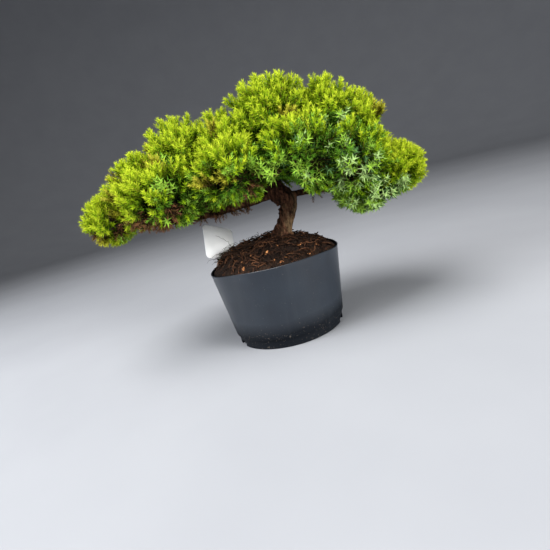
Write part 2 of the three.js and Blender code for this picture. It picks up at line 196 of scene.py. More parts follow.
# The cushions: name, centre, radii, the limb their bough leaves and the share along it, the side
# where it enters, its bow and radius, and the share of dead sprays on the underside.
FIELDS = ("name", "centre", "radii", "limb", "at", "enters", "bow", "radius", "dead")
ROWS = (
    ("left_tip", (-141, -5, 151), (27, 33, 25),
     "trunk", 0.56, (0.75, 0.1, -0.6), (0, 0, -5), 4.3, 0.2),
    ("left_outer", (-103, 5, 173), (33, 44, 31),
     "left_tip", 0.72, (0.3, 0, -0.85), (0, 0, 0), 2.3, 0.6),
    ("left_shoulder", (-63, 10, 186), (37, 50, 44),
     "left_tip", 0.36, (0.2, 0, -0.88), (-2, 0, 0), 2.6, 0.55),
    ("front_left", (-83, -38, 159), (43, 33, 30),
     "left_tip", 0.47, (0.2, 0.75, -0.45), (0, 0, -2), 2.2, 0.6),
    ("back_left", (-72, 56, 165), (47, 38, 38),
     "left_tip", 0.26, (0.35, -0.75, -0.45), (0, 0, -3), 2.6, 0.45),
    ("front_centre", (-18, -46, 163), (36, 33, 29),
     "trunk", 0.66, (0.4, 0.75, -0.3), (0, 0, 2), 2.7, 0.2),
    ("top_left", (-18, 8, 183), (35, 52, 40),
     "trunk", 0.75, (0.35, -0.1, -0.8), (0, 0, 2), 3, 0),
    ("top", (30, 10, 204), (40, 56, 42),
     "trunk", 1, (0, 0, -1), (0, 0, 0), 0, 0),
    ("top_right", (81, 8, 187), (34, 52, 44),
     "trunk", 0.86, (-0.8, 0, -0.4), (0, 0, 3), 3, 0),
    ("front_right", (43, -47, 163), (38, 34, 34),
     "trunk", 0.8, (-0.2, 0.8, -0.25), (0, 0, 2), 2.6, 0),
    ("back_centre", (8, 64, 172), (46, 38, 42),
     "trunk", 0.7, (0.1, -0.8, -0.35), (0, 0, 2), 2.9, 0.05),
    ("right_tip", (135, -5, 131), (29, 38, 25),
     "trunk", 0.5, (-0.85, 0.05, -0.25), (0, 0, 0), 3.3, 0),
    ("right_shoulder", (110, -2, 175), (27, 36, 30),
     "right_tip", 0.72, (-0.1, 0, -0.9), (3, 0, 0), 2.1, 0),
    ("right_under", (98, -14, 115), (28, 34, 17),
     "right_tip", 0.4, (-0.75, 0.5, 0.35), (0, 0, 0), 2.1, 0),
    ("front_far", (87, -40, 150), (32, 33, 29),
     "right_tip", 0.42, (-0.2, 0.75, -0.3), (0, 0, -1), 2.2, 0),
    ("back_right", (84, 56, 161), (46, 38, 39),
     "right_tip", 0.32, (-0.3, -0.8, -0.3), (0, 0, -1), 2.5, 0.05),
)
CUSHIONS = [dict(zip(FIELDS, row)) for row in ROWS]
CENTRES = np.array([cushion["centre"] for cushion in CUSHIONS], float)
RADII = np.array([cushion["radii"] for cushion in CUSHIONS], float)

BLEND = 4.0  # how sharply the cushions keep apart: less fills the valleys between them more

# Gaps in the crown, each a centre and radii: the one in front through which the trunk shows, the
# notch over the right tip and the hollow under the left one. Shoots that look into the last two are
# painted as lit.
OPENINGS = (
    ((22, -35, 126), (21, 64, 25)),
    ((146, 0, 172), (25, 90, 13)),
    ((-178, 0, 134), (20, 60, 20)),
)
LIT_OPENINGS = OPENINGS[1:]
# A shoot that looks this far into such a gap is painted as lit.
LIGHT_REACH = 9  # how far from such a gap a shoot is lit

SUNLIT_FROM = 174  # height of a cushion's centre from which needles_top rather than needles_low is passed as its slot

# ------------------------------------------------------------------ how a cushion grows

TWIG = {
    "patch": 290,  # mm2 of a cushion's skin to each twig
    "elbow": 0.62,  # share of a twig at which it bends
    "lift": 0.12,
    "shortest": 0.84,
    "longest": 0.985,
    "reach": 0.985,  # how far out a shoot's axis may go. Its needles stand out a little further
    "slack": 0.03,  # how far into a neighbour's space
    "least": 0.66,  # a twig that a neighbour stops nearer the middle than this isn't grown
    "nearest": 0.3,  # and one that a gap in the crown stops, than this
    "wood_to": 0.96,  # share of a twig that is wood
    "joints": 7,
    "root_radius": 0.85,
    "tip_radius": 0.3,
    "green_below": 0.36,  # radius of green wood
}

UNDERSIDE = -0.5  # a twig that points lower than this is on the underside

STEM = {"from": 0.6, "root_radius": 1.6, "tip_radius": 1.2}  # twigs leave it from this share on

FAN = {
    "shoots": 11,  # side shoots on a twig
    "from": 0.34,
    "to": 0.94,
    "leader_from": 0.62,
    "angle": 0.60,  # radians between a side shoot and its twig
    "angle_scatter": (0.75, 1.25),
    "longest": 20,
    "shortest": 8,
    "length_scatter": (0.8, 1.15),
    "up": 0.55,  # how strongly a side shoot turns upwards
    "down": -0.05,  # and on the underside
    "short_twig": 16,
    "cuts": 5,  # times that a shoot is cut back to keep to its space
    "short_cuts": 9,  # and on a short twig
    "cut": 0.86,
    "dead_share": 0.9,  # of the side shoots on a dead twig
    "cool_share": 0.82,  # and on a blue-green one
}

SHOOT = {
    "needled_share": 0.92,
    "needled": (8, 17),
    "plume_from": 16,
    "finger_from": 12,
    "star_longest": 12,
    "star_share": 0.55,
    "size": (0.72, 1.15),
    "size_scatter": (0.94, 1.06),
    "stem_radius": (0.42, 0.2),
    "stem_short": 1.5,
}

# Where slow noise over the crown is above a level, twigs stop short and leave a dark hollow.
HOLLOWS = {"size": 15.0, "above": 0.2, "share": 0.8}

# Shoots inside a cushion, and the lining of the side that a gap cuts off.
INSIDE = {
    "share": 0.55,  # to each twig
    "depth": (0.5, 0.82),
    "from": 0.4,
    "drawn_in": 0.55,
    "dead_below": -0.3,
    "first": 1000,  # place in the run of directions, clear of the twigs'
}
LINING = {"share": 5, "shares": np.arange(0.3, 0.9, 0.05)[:, None], "from": 0.3, "first": 2000}

STRAW = (0.03, 0.13)  # share of straw-coloured twigs on the right and on the left
STRAW_LEFT_OF = -40

# Dead sprays that hang about a bough: how many, between which shares of it, and how long.
LITTER = {"left_tip": 85, "front_left": 30, "left_outer": 25, "left_shoulder": 25, "right_tip": 16}
LITTER_ALONG = (0.2, 0.78)
LITTER_LENGTH = (7, 12)

# Kinds of needled shoot: length, whorls, needle length and width, spread at its base and tip in
# radians, and how far it bows.
SHOOT_KINDS = {
    "finger": (13, 8, 5.3, 1.2, 1.12, 0.55, 0.8),
    "short_finger": (9, 6, 5.0, 1.2, 1.15, 0.55, -0.5),
    "plume": (17, 9, 5.6, 1.2, 1.12, 0.58, -1.3),
    "star": (6, 3, 5.8, 1.35, 1.45, 0.75, 0.4),
    "open_star": (10, 4, 5.8, 1.3, 1.35, 0.65, -0.8),
    "withered": (12, 6, 5.0, 0.9, 1.00, 0.60, 1.4),
}
KINDS = list(SHOOT_KINDS)
FINGER, SHORT, PLUME, STAR, OPEN, WITHERED = range(len(KINDS))

# How a shoot's needles scatter, in radians and as shares of their length, and how much shorter
# the last one is.
NEEDLE_SCATTER = {"tilt": 0.14, "turn": 0.25, "length": (0.82, 1.12), "shorter": 0.42}

# ------------------------------------------------------------------ colours of the crown

# Needle colours in families, each from dark to bright: the yellow-green ones, the blue-green, the
# leaf-green, the straw and the dead ones. A shoot's middle needles take the next colour up, and its
# tip the next. On blue-green and leaf-green shoots the needles' upper faces take the next one.
# The shadow, cool_shadow and leaf_shadow tones are painted shade, and so is deep where a shoot lies
# deep in the crown, in a pocket or at its base.
NEEDLES = {
    "shadow": (0.006, 0.016, 0.002),
    "deep": (0.026, 0.066, 0.003),
    "middle": (0.090, 0.180, 0.005),
    "fresh": (0.210, 0.345, 0.008),
    "lime": (0.330, 0.460, 0.012),
    "gold": (0.450, 0.540, 0.026),
    "cool_shadow": (0.009, 0.032, 0.008),
    "cool": (0.100, 0.220, 0.066),
    "cool_pale": (0.345, 0.510, 0.170),
    "leaf_shadow": (0.012, 0.040, 0.004),
    "leaf": (0.085, 0.210, 0.013),
    "leaf_pale": (0.250, 0.430, 0.045),
    "straw_dark": (0.090, 0.085, 0.006),
    "straw": (0.250, 0.245, 0.015),
    "straw_pale": (0.440, 0.430, 0.040),
    "dead_dark": (0.020, 0.009, 0.006),
    "dead_brown": (0.066, 0.029, 0.014),
    "dead_tan": (0.170, 0.080, 0.034),
}
TONES = {name: index for index, name in enumerate(NEEDLES)}

# Shares of a shoot's length at which its needles change tone. Below Dark_Below a yellow-green
# shoot's needles take the next darker tone: painted shade at its base.
TONE_STEPS = {"Dark_Below": 0.22, "Bright_From": 0.4, "Brightest_From": 0.72}

# The crown's shade line: its height at places from left to right. Under it sprays turn blue-green,
# within the fade.
SHADE_LINE = (
    (-175, 52), (-120, 108), (-60, 149), (0, 159), (60, 171), (100, 167), (135, 98), (175, 50)
)
SHADE_FADE = 45

# Dark pockets of painted shade in the front of the crown: centre, radii.
SHADE_POCKETS = (
    ((54, -74, 160), (48, 46, 30)),
    ((-8, -78, 150), (26, 36, 15)),
    ((-70, -60, 150), (18, 28, 12)),
)

# Tones of the yellow-green: steps brighter with height over the shade line, for a shoot that looks
# up (painted light) and at random, and steps darker in a pocket and deep in the crown (painted
# shade).
SUN = {
    "base": 2.0, "over_shade": 1.2, "most_over": 1.1, "upwards": 0.5, "scatter": 0.5,
    "pocket": 2.5, "dimming": 9, "lit_depth": 0.86,
}

# Blue-green and leaf-green shoots: how many, and how deep and how far from a pocket they are
# painted as lit rather than in their painted-shade tone.
COOL = {
    "share": 0.85, "steep": 4.5, "shift": 0.2, "lit_depth": 0.78, "pocket": 1.2, "lit_anyway": 0.2,
    "blue_from": (80, 26),  # where across the crown leaf-green gives way to blue-green
    "inside_below": -0.2,
}
# Leaf-green among the yellow-green under the shade line: how many, and where they are painted as
# lit rather than in painted shade.
LEAF = {"below": 0.5, "share": 0.4, "lit_depth": 0.8, "pocket": 1.3}

# ------------------------------------------------------------------ helpers


def chance(seed, step):
    """A repeatable number from 0 to 1 for a seed and a step."""
    wave = math.sin(seed * 127.1 + step * 311.7) * 43758.5453
    return wave - math.floor(wave)


def lerp(a, b, share):
    return a + (b - a) * share


def clamp(value):
    return max(0.0, min(1.0, value))


def unit(v):
    return v / np.linalg.norm(v)


def swell(x, y, z, size, seed):
    """A slow, repeatable swell from -1 to 1 over space."""
    x, y, z = x / size, y / size, z / size
    return (
        np.sin(x + 1.7 * seed + 0.6 * y)
        + np.sin(y * 1.3 + 2.9 * seed - 0.5 * z)
        + np.sin(z * 1.1 + 0.8 * seed + 0.7 * x)
    ) / 3


class Path:
    """A line through space, read by share of its length."""

    def __init__(self, points):
        self.points = np.asarray(points, float)
        steps = np.linalg.norm(np.diff(self.points, axis=0), axis=1)
        self.far = np.concatenate([[0], np.cumsum(steps)])
        self.length = self.far[-1]

    def at(self, share):
        far = np.asarray(share, float) * self.length
        return np.stack([np.interp(far, self.far, self.points[:, k]) for k in range(3)], axis=-1)

    def way(self, share):
        return unit(self.at(min(1, share + 0.01)) - self.at(max(0, share - 0.01)))


def bent(start, elbow, end, steps=16):
    """A path that leaves its start towards the elbow and comes to its end from there."""
    t = np.linspace(0, 1, steps + 1)[:, None]
    return Path((1 - t) ** 2 * start + 2 * t * (1 - t) * elbow + t**2 * end)


def through(bends, steps=40):
    """A smooth path through bends: a centripetal Catmull-Rom curve."""
    p = np.array(bends, float)
    p = np.vstack([2 * p[0] - p[1], p, 2 * p[-1] - p[-2]])
    points = [p[1]]
    for a, b, c, d in zip(p, p[1:], p[2:], p[3:]):
        ab, bc, cd = (np.linalg.norm(v) ** 0.5 for v in (b - a, c - b, d - c))
        leave = ((b - a) / ab - (c - a) / (ab + bc) + (c - b) / bc) * bc
        arrive = ((c - b) / bc - (d - b) / (bc + cd) + (d - c) / cd) * bc
        square_term = -3 * b + 3 * c - 2 * leave - arrive
        cube_term = 2 * b - 2 * c + leave + arrive
        for t in np.linspace(0, 1, steps + 1)[1:]:
            points.append(b + leave * t + square_term * (t * t) + cube_term * t**3)
    return Path(points)


def mesh_of(name, points, faces=(), edges=()):
    """A mesh from points in mm."""
    mesh = bpy.data.meshes.new(name)
    mesh.from_pydata((np.asarray(points, float) * MM).tolist(), edges, faces)
    mesh.update()
    return mesh


def mesh_from(name, shape):
    """A mesh from a bmesh, which is freed."""
    mesh = bpy.data.meshes.new(name)
    shape.to_mesh(mesh)
    shape.free()
    return mesh


def add_object(name, data, *materials):
    made = bpy.data.objects.new(name, data)
    scene.collection.objects.link(made)
    for material in materials:
        data.materials.append(material)
    return made


def give(mesh, name, kind, values, domain="POINT"):
    """Stores one value for each point or face of a mesh."""
    attribute = mesh.attributes.new(name, kind, domain)
    attribute.data.foreach_set("value", np.ravel(values))


def finish_piece(piece, slot, *nodes, smooth=False):
    """Hands a finished piece over: what it stands for and its body. Its slot is not used."""
    if smooth:
        piece.data.shade_smooth()
    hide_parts(*nodes)
    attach(piece, "root")


# ------------------------------------------------------------------ wiring of nodes


class Wire:
    """A node's output. A sum that is written with it adds the node that works the sum out."""

    def __init__(self, board, socket):
        self.board, self.socket = board, socket

    def beside(self, name):
        """Another output of the same node."""
        return Wire(self.board, self.socket.node.outputs[name])

    def __add__(self, other):
        return self.board.maths("ADD", self, other)

    def __sub__(self, other):
        return self.board.maths("SUBTRACT", self, other)

    def __rsub__(self, other):
        return self.board.maths("SUBTRACT", other, self)

    def __mul__(self, other):
        return self.board.maths("MULTIPLY", self, other)

    def __truediv__(self, other):
        return self.board.maths("DIVIDE", self, other)

    def __pow__(self, other):
        return self.board.maths("POWER", self, other)

    def __gt__(self, other):
        return self.board.maths("GREATER_THAN", self, other)

    def __lt__(self, other):
        return self.board.maths("LESS_THAN", self, other)


class Board:
    """A node tree while it is being wired."""

    def __init__(self, tree):
        self.tree = tree

    def node(self, kind, sockets=(), output=0, **settings):
        """Adds a node and gives an output. sockets gives each input a value or another output."""
        made = self.tree.nodes.new(kind)
        for key, value in settings.items():
            setattr(made, key, value)
        for socket, value in dict(sockets).items():
            if isinstance(value, Wire):
                self.tree.links.new(value.socket, made.inputs[socket])
            elif value is not None:
                made.inputs[socket].default_value = value
        return Wire(self, made.outputs[output])

    def maths(self, operation, a, b=None):
        return self.node("ShaderNodeMath", {0: a, 1: b}, operation=operation)

    def mapped(self, value, low, high, to_low=0, to_high=1):
        """A value taken from one range to another."""
        sockets = {"Value": value, 1: low, 2: high, 3: to_low, 4: to_high}
        return self.node("ShaderNodeMapRange", sockets)


class Finish(Board):
    """A material: plain values stay on the shader's own sockets, and patterns are wired to them."""

    def __init__(self, name, colour, roughness, specular=0.5):
        self.material = bpy.data.materials.new(name)
        self.material.use_nodes = True
        self.material.diffuse_color = (*colour, 1)
        super().__init__(self.material.node_tree)
        self.sockets = self.tree.nodes["Principled BSDF"].inputs
        self.sockets["Base Color"].default_value = (*colour, 1)
        self.sockets["Roughness"].default_value = roughness
        self.sockets["Specular IOR Level"].default_value = specular

    def link(self, socket, value):
        self.tree.links.new(value.socket, self.sockets[socket])

    def own_place(self):
        return self.node("ShaderNodeTexCoord", output="Object")

    def height(self, place):
        return self.node("ShaderNodeSeparateXYZ", {0: place}, "Z")

    def grain(self, place, scale, detail=4, stretch=(1, 1, 1), rough=0.55):
        """Noise over the piece's own space, stretched along its axes: its value from 0 to 1."""
        mapping = self.node("ShaderNodeMapping", {"Vector": place, "Scale": stretch})
        sockets = {"Vector": mapping, "Scale": scale, "Detail": detail, "Roughness": rough}
        return self.node("ShaderNodeTexNoise", sockets, "Fac")

    def ramp(self, value, *stops):
        """Colours or greys along a value: stops are (position, colour)."""
        made = self.node("ShaderNodeValToRGB", {"Fac": value}, "Color")
        elements = made.socket.node.color_ramp.elements
        while len(elements) < len(stops):
            elements.new(0.5)
        for element, (position, colour) in zip(elements, stops):
            element.position = position
            element.color = (*(colour if isinstance(colour, tuple) else [colour] * 3), 1)
        return made

    def mixed(self, factor, a, b):
        """From one colour to another. The second is a plain one or an output."""
        b = b if isinstance(b, Wire) else (*b, 1)
        return self.node("ShaderNodeMix", {0: factor, 6: a, 7: b}, 2, data_type="RGBA")

    def bump(self, height, depth, strength=1.0):
        sockets = {"Height": height, "Distance": depth * MM, "Strength": strength}
        self.link("Normal", self.node("ShaderNodeBump", sockets))


class Recipe(Board):
    """A Geometry Nodes tree with named inputs. Each is given by its default, or by its type."""

    def __init__(self, name, **sizes):
        super().__init__(bpy.data.node_groups.new(name, "GeometryNodeTree"))
        sockets = self.tree.interface
        sockets.new_socket("Geometry", in_out="INPUT", socket_type="NodeSocketGeometry")
        for label, value in sizes.items():
            kind = {int: "Int", float: "Float"}.get(type(value), value)
            label = label.replace("_", " ")
            made = sockets.new_socket(label, in_out="INPUT", socket_type="NodeSocket" + kind)
            if kind != value:
                made.default_value = value
        sockets.new_socket("Geometry", in_out="OUTPUT", socket_type="NodeSocketGeometry")
        self.start = self.tree.nodes.new("NodeGroupInput").outputs
        self.end = self.tree.nodes.new("NodeGroupOutput").inputs[0]

    def __getitem__(self, name):
        return Wire(self, self.start[name])

    def stored(self, name, kind):
        """A value kept on the geometry under a name."""
        named = {"Name": name}
        return self.node("GeometryNodeInputNamedAttribute", named, "Attribute", data_type=kind)

    def between(self, low, high, seed):
        """A random number from low to high for each point."""
        sockets = {2: low, 3: high, "Seed": seed}
        return self.node("FunctionNodeRandomValue", sockets, 1, data_type="FLOAT")

    def xyz(self, x=None, y=None, z=None):
        return self.node("ShaderNodeCombineXYZ", {"X": x, "Y": y, "Z": z})

    def turned(self, x=None, y=None, z=None):
        return self.node("FunctionNodeEulerToRotation", {0: self.xyz(x, y, z)})

    def parts_of(self, name):
        """The objects of the collection in an input, each at its own origin."""
        sockets = {"Collection": self[name], "Separate Children": True, "Reset Children": True}
        return self.node("GeometryNodeCollectionInfo", sockets)

    def shape_of(self, name):
        """The geometry of the object in an input."""
        return self.node("GeometryNodeObjectInfo", {"Object": self[name]}, "Geometry")

    def set_out(self, points, part, **sockets):
        """A part on each point, with the other inputs by name."""
        named = {key.replace("_", " "): value for key, value in sockets.items()}
        sockets = {"Points": points, "Instance": part, **named}
        return self.node("GeometryNodeInstanceOnPoints", sockets)

    def finish(self, geometry, *coats):
        """Ends the tree: instances are made real, then each material is set on its selection."""
        geometry = self.node("GeometryNodeRealizeInstances", {"Geometry": geometry})
        for material, where in coats:
            sockets = {"Geometry": geometry, "Selection": where, "Material": material}
            geometry = self.node("GeometryNodeSetMaterial", sockets)
        self.tree.links.new(geometry.socket, self.end)
        return self


def keep_used_materials(mesh):
    """Drops the slots that no face uses."""
    indices = np.zeros(len(mesh.polygons), np.int32)
    mesh.polygons.foreach_get("material_index", indices)
    used, renumbered = np.unique(indices, return_inverse=True)
    kept = [mesh.materials[k] for k in used if k < len(mesh.materials)]
    mesh.materials.clear()
    for material in kept:
        mesh.materials.append(material)
    mesh.polygons.foreach_set("material_index", renumbered.astype(np.int32))


def grown(name, mesh, recipe, **sizes):
    """Runs a recipe on a mesh and gives the result as a plain object."""
    carrier = add_object(name + "_start", mesh)
    modifier = carrier.modifiers.new("grow", "NODES")
    modifier.node_group = recipe.tree
    inputs = (item for item in recipe.tree.interface.items_tree if item.in_out == "INPUT")
    named = {item.name: item.identifier for item in inputs}
    for label, value in sizes.items():
        modifier[named[label.replace("_", " ")]] = value
    grown_carrier = carrier.evaluated_get(bpy.context.evaluated_depsgraph_get())
    result = bpy.data.meshes.new_from_object(grown_carrier)
    bpy.data.objects.remove(carrier)
    result.name = name
    keep_used_materials(result)
    return add_object(name, result)


# ------------------------------------------------------------------ materials


def pot_plastic():
    """Satin blue-grey plastic with a painted dark reflection at its foot, where it is also less
    glossy, and with scuffs and specks of dried mud.
    """
    plastic = Finish("pot_plastic", (0.012, 0.018, 0.027), 0.4, 0.45)
    place = plastic.own_place()
    cloud = plastic.grain(place, 28, 5)
    streak = plastic.grain(place, 60, 6, (1, 1, 0.12))
    speck = plastic.grain(place, 700, 2)
    base = plastic.ramp(cloud, (0.3, (0.010, 0.014, 0.021)), (0.72, (0.016, 0.023, 0.033)))
    # Painted reflection: the colour darkens to near black from 20 mm down to 6 mm up the wall.
    low = plastic.mapped(plastic.height(place) + cloud * (-14 * MM), 20 * MM, 6 * MM)
    with_dark_reflection = plastic.mixed(low * 0.85, base, (0.003, 0.004, 0.006))
    scuffs = plastic.ramp(streak, (0.6, 0.0), (0.8, 0.35))
    scuffed = plastic.mixed(scuffs, with_dark_reflection, (0.035, 0.040, 0.046))
    mud = plastic.ramp(speck + low * 0.05, (0.70, 0.0), (0.76, 0.5))
    plastic.link("Base Color", plastic.mixed(mud, scuffed, (0.19, 0.16, 0.13)))
    plastic.link("Roughness", plastic.ramp(streak, (0.3, 0.30), (0.75, 0.46)) + low * 0.25)
    plastic.link("Specular IOR Level", plastic.mapped(low, 0, 1, 0.45, 0.1))
    plastic.bump(plastic.grain(place, 90, 3, (1, 1, 0.3)), 0.25, 0.35)
    return plastic.material


def earth():
    """Damp dark coir and bark."""
    soil = Finish("earth", (0.010, 0.006, 0.004), 0.95, 0.15)
    place = soil.own_place()
    crumb = soil.grain(place, 420, 6)
    patch = soil.ramp(soil.grain(place, 60, 3), (0.45, 0.0), (0.7, 0.6))
    dark = soil.ramp(crumb, (0.35, (0.003, 0.002, 0.0015)), (0.7, (0.022, 0.012, 0.008)))
    soil.link("Base Color", soil.mixed(patch, dark, (0.030, 0.016, 0.009)))
    soil.bump(crumb, 1.2)
    return soil.material


def bark(name, flake, worn):
    """Reddish, fibrous bark that flakes off a paler, smoother wood."""
    skin = Finish(name, flake, 0.9, 0.1)
    place = skin.own_place()
    fibre = skin.grain(place, 330, 5, (1, 1, 0.3), 0.65)
    plate = skin.grain(place, 85, 4, (1, 1, 0.5))

    def shaded(colour, share):
        return tuple(share * part for part in colour)

    # The fibre's hollows are near black and its ridges lighter: partly the bark's own tone, partly
    # painted shade in the hollows.
    flaky = skin.ramp(fibre, (0.38, shaded(flake, 0.14)), (0.53, flake), (0.68, shaded(flake, 2.9)))
    smooth = skin.ramp(fibre, (0.36, shaded(worn, 0.25)), (0.5, worn), (0.68, shaded(worn, 1.7)))
    bare = skin.node("ShaderNodeAttribute", output="Fac", attribute_name="worn")
    share = bare * skin.ramp(plate, (0.42, 0.1), (0.55, 1.0))
    skin.link("Base Color", skin.mixed(share, flaky, smooth))
    skin.bump(fibre, 0.7)
    return skin.material


def label_plastic():
    """Off-white plastic, a little grimy where it comes out of the soil."""
    plate = Finish("label_plastic", (0.88, 0.89, 0.90), 0.5, 0.3)
    place = plate.own_place()
    smear = plate.grain(place, 140, 4)
    clean = plate.ramp(smear, (0.35, (0.86, 0.875, 0.89)), (0.7, (0.90, 0.91, 0.92)))
    low = plate.mapped(plate.height(place), 92 * MM, 76 * MM)
    grime = low * plate.ramp(smear, (0.4, 0.2), (0.62, 0.9))
    plate.link("Base Color", plate.mixed(grime, clean, (0.24, 0.19, 0.15)))
    plate.bump(smear, 0.1, 0.3)
    return plate.material


def strewn_finish(name, dark, light):
    """Bits on the soil, each from dark to light with its place."""
    bits = Finish(name, dark, 0.8, 0.12)
    place = bits.own_place()
    bits.link("Base Color", bits.ramp(bits.grain(place, 230, 2), (0.36, dark), (0.66, light)))
    bits.bump(bits.grain(place, 900, 2, (1, 1, 0.4)), 0.2)
    return bits.material


# ------------------------------------------------------------------ Geometry Nodes recipes


def needle_shoot_recipe():
    """Whorls of three needles up an axis, each whorl turned half a step from the one below."""
    shoot = Recipe(
        "needle_shoot", Needle="Object", Length=0.015, Whorls=6, Needle_Length=0.005,
        Needle_Width=0.001, Base_Spread=1.0, Tip_Spread=0.3, Bow=0.001, Seed=1,
    )
    seed, wide, scatter = shoot["Seed"], shoot["Needle Width"], NEEDLE_SCATTER
    index = shoot.node("GeometryNodeInputIndex")
    whorl = shoot.maths("FLOOR", index / 3)
    share = (whorl + 0.5) / shoot["Whorls"]
    height = share * shoot["Length"]
    side = share * share * shoot["Bow"]
    count = {"Count": shoot["Whorls"] * 3, "Offset": (0, 0, 0)}
    line = shoot.node("GeometryNodeMeshLine", count)
    axis = {"Geometry": line, "Position": shoot.xyz(side, None, height)}
    spread = shoot.mapped(share, 0, 1, shoot["Base Spread"], shoot["Tip Spread"])
    tilt = spread + shoot.between(-scatter["tilt"], scatter["tilt"], seed)
    turn = index * (math.tau / 3) + whorl * (math.tau / 6)
    turn = turn + shoot.between(-scatter["turn"], scatter["turn"], seed + 7)
    shorter = 1.0 - share**3 * scatter["shorter"]
    long = shoot["Needle Length"] * (shorter * shoot.between(*scatter["length"], seed + 3))
    needles = shoot.set_out(
        shoot.node("GeometryNodeSetPosition", axis),
        shoot.shape_of("Needle"),
        Rotation=shoot.turned(tilt, None, turn),
        Scale=shoot.xyz(wide, wide, long),
    )
    marked = {"Geometry": needles, "Name": "share", "Value": share}
    settings = {"data_type": "FLOAT", "domain": "INSTANCE"}
    return shoot.finish(shoot.node("GeometryNodeStoreNamedAttribute", marked, **settings))


def needle_spray_recipe(materials):
    """Sets a shoot of its kind on each point, turned, sized and coloured as the point says."""
    spray = Recipe(
        "needle_spray", Shoots="Collection", Dark_Below=0.2, Bright_From=0.5, Brightest_From=0.8
    )
    points = spray.node("GeometryNodeMeshToPoints", {"Mesh": spray["Geometry"]})
    sprays = spray.set_out(
        points,
        spray.parts_of("Shoots"),
        Pick_Instance=True,
        Instance_Index=spray.stored("kind", "INT"),
        Rotation=spray.stored("aim", "QUATERNION"),
        Scale=spray.stored("size", "FLOAT"),
    )
    tone, share = spray.stored("tone", "INT"), spray.stored("share", "FLOAT")
    outer = (share > spray["Bright From"]) + (share > spray["Brightest From"])
    by_face = (tone > TONES["cool_shadow"] - 0.5) * (tone < TONES["leaf_pale"] + 0.5)
    steps = {0: by_face, 2: outer, 3: spray.stored("upper", "FLOAT")}
    # Painted shade: the base of a yellow-green shoot takes the next darker tone.
    dark = (share < spray["Dark Below"]) * (tone < TONES["fresh"] + 0.5)
    last = spray.maths("MAXIMUM", tone + spray.node("ShaderNodeMix", steps) - dark, 0.0)
    compare = {"data_type": "FLOAT", "operation": "EQUAL"}
    coats = []
    for index, material in enumerate(materials):
        same = {0: last, 1: float(index), "Epsilon": 0.4}
        coats.append((material, spray.node("FunctionNodeCompare", same, **compare)))
    return spray.finish(sprays, *coats)


def stem_recipe(wood, green_wood):
    """Wraps a tube round each line of a mesh. Thin ones are green wood."""
    stem = Recipe("stems", Sides=3, Green_Below=0.0005)
    thick = stem.stored("thick", "FLOAT")
    curve = stem.node("GeometryNodeMeshToCurve", {"Mesh": stem["Geometry"]})
    round_it = {"Resolution": stem["Sides"], "Radius": 1.0}
    ring = stem.node("GeometryNodeCurvePrimitiveCircle", round_it, mode="RADIUS")
    wrap = {"Curve": curve, "Profile Curve": ring, "Scale": thick, "Fill Caps": True}
    tube = stem.node("GeometryNodeCurveToMesh", wrap)
    compare = {"data_type": "FLOAT", "operation": "LESS_THAN"}
    thin = stem.node("FunctionNodeCompare", {0: thick, 1: stem["Green Below"]}, **compare)
    return stem.finish(tube, (wood, None), (green_wood, thin))


def strewn_recipe(name, material):
    """Strews bits of a collection over a surface, lying down and turned at random."""
    strewn = Recipe(name, Bits="Collection", Density=10000.0, Smallest=0.7, Largest=1.2, Seed=1)
    seed = strewn["Seed"]
    over = {"Mesh": strewn["Geometry"], "Density": strewn["Density"], "Seed": seed}
    spots = strewn.node("GeometryNodeDistributePointsOnFaces", over, "Points")
    turn = strewn.turned(
        strewn.between(-BIT_LEAN, BIT_LEAN, seed + 1),
        strewn.between(-BIT_LEAN, BIT_LEAN, seed + 2),
        strewn.between(0.0, math.tau, seed + 3),
    )
    both = {0: spots.beside("Rotation"), 1: turn}
    laid = strewn.set_out(
        spots,
        strewn.parts_of("Bits"),
        Pick_Instance=True,
        Rotation=strewn.node("FunctionNodeRotateRotation", both, rotation_space="LOCAL"),
        Scale=strewn.between(strewn["Smallest"], strewn["Largest"], seed + 4),
    )
    return strewn.finish(laid, (material, None))


def drain_slots_recipe(material):
    """Cuts a slot into a pot's foot at each point of another mesh, turned as the point says."""
    slots = Recipe("drain_slots", Spots="Object", Depth=0.007, Width=0.012, Height=0.009)
    size = {"Size": slots.xyz(slots["Depth"], slots["Width"], slots["Height"])}
    turn = slots.turned(z=slots.stored("turn", "FLOAT"))
    block = slots.node("GeometryNodeMeshCube", size)
    blocks = slots.set_out(slots.shape_of("Spots"), block, Rotation=turn)
    cutters = slots.node("GeometryNodeRealizeInstances", {"Geometry": blocks})
    meshes = {"Mesh 1": slots["Geometry"], "Mesh 2": cutters}
    cut = slots.node("GeometryNodeMeshBoolean", meshes, operation="DIFFERENCE", solver="EXACT")
    return slots.finish(cut, (material, None))


# ------------------------------------------------------------------ camera, light and floor


def add_camera():
    turn, tip, roll = CAMERA["turn"], CAMERA["tip"], CAMERA["roll"]
    ahead = Vector((math.sin(turn) * math.cos(tip), math.cos(turn) * math.cos(tip), math.sin(tip)))
    level = Vector((math.cos(turn), -math.sin(turn), 0))
    above = level.cross(ahead)
    right = math.cos(roll) * level - math.sin(roll) * above
    up = math.sin(roll) * level + math.cos(roll) * above
    data = bpy.data.cameras.new("camera")
    data.sensor_width = CAMERA["sensor"]
    data.lens = CAMERA["lens"]
    data.clip_start = 0.01
    camera = add_object("camera", data)
    turned = Matrix((right, up, -ahead)).transposed().to_4x4()
    camera.matrix_world = Matrix.Translation(Vector(CAMERA["place"]) * MM) @ turned
    scene.camera = camera


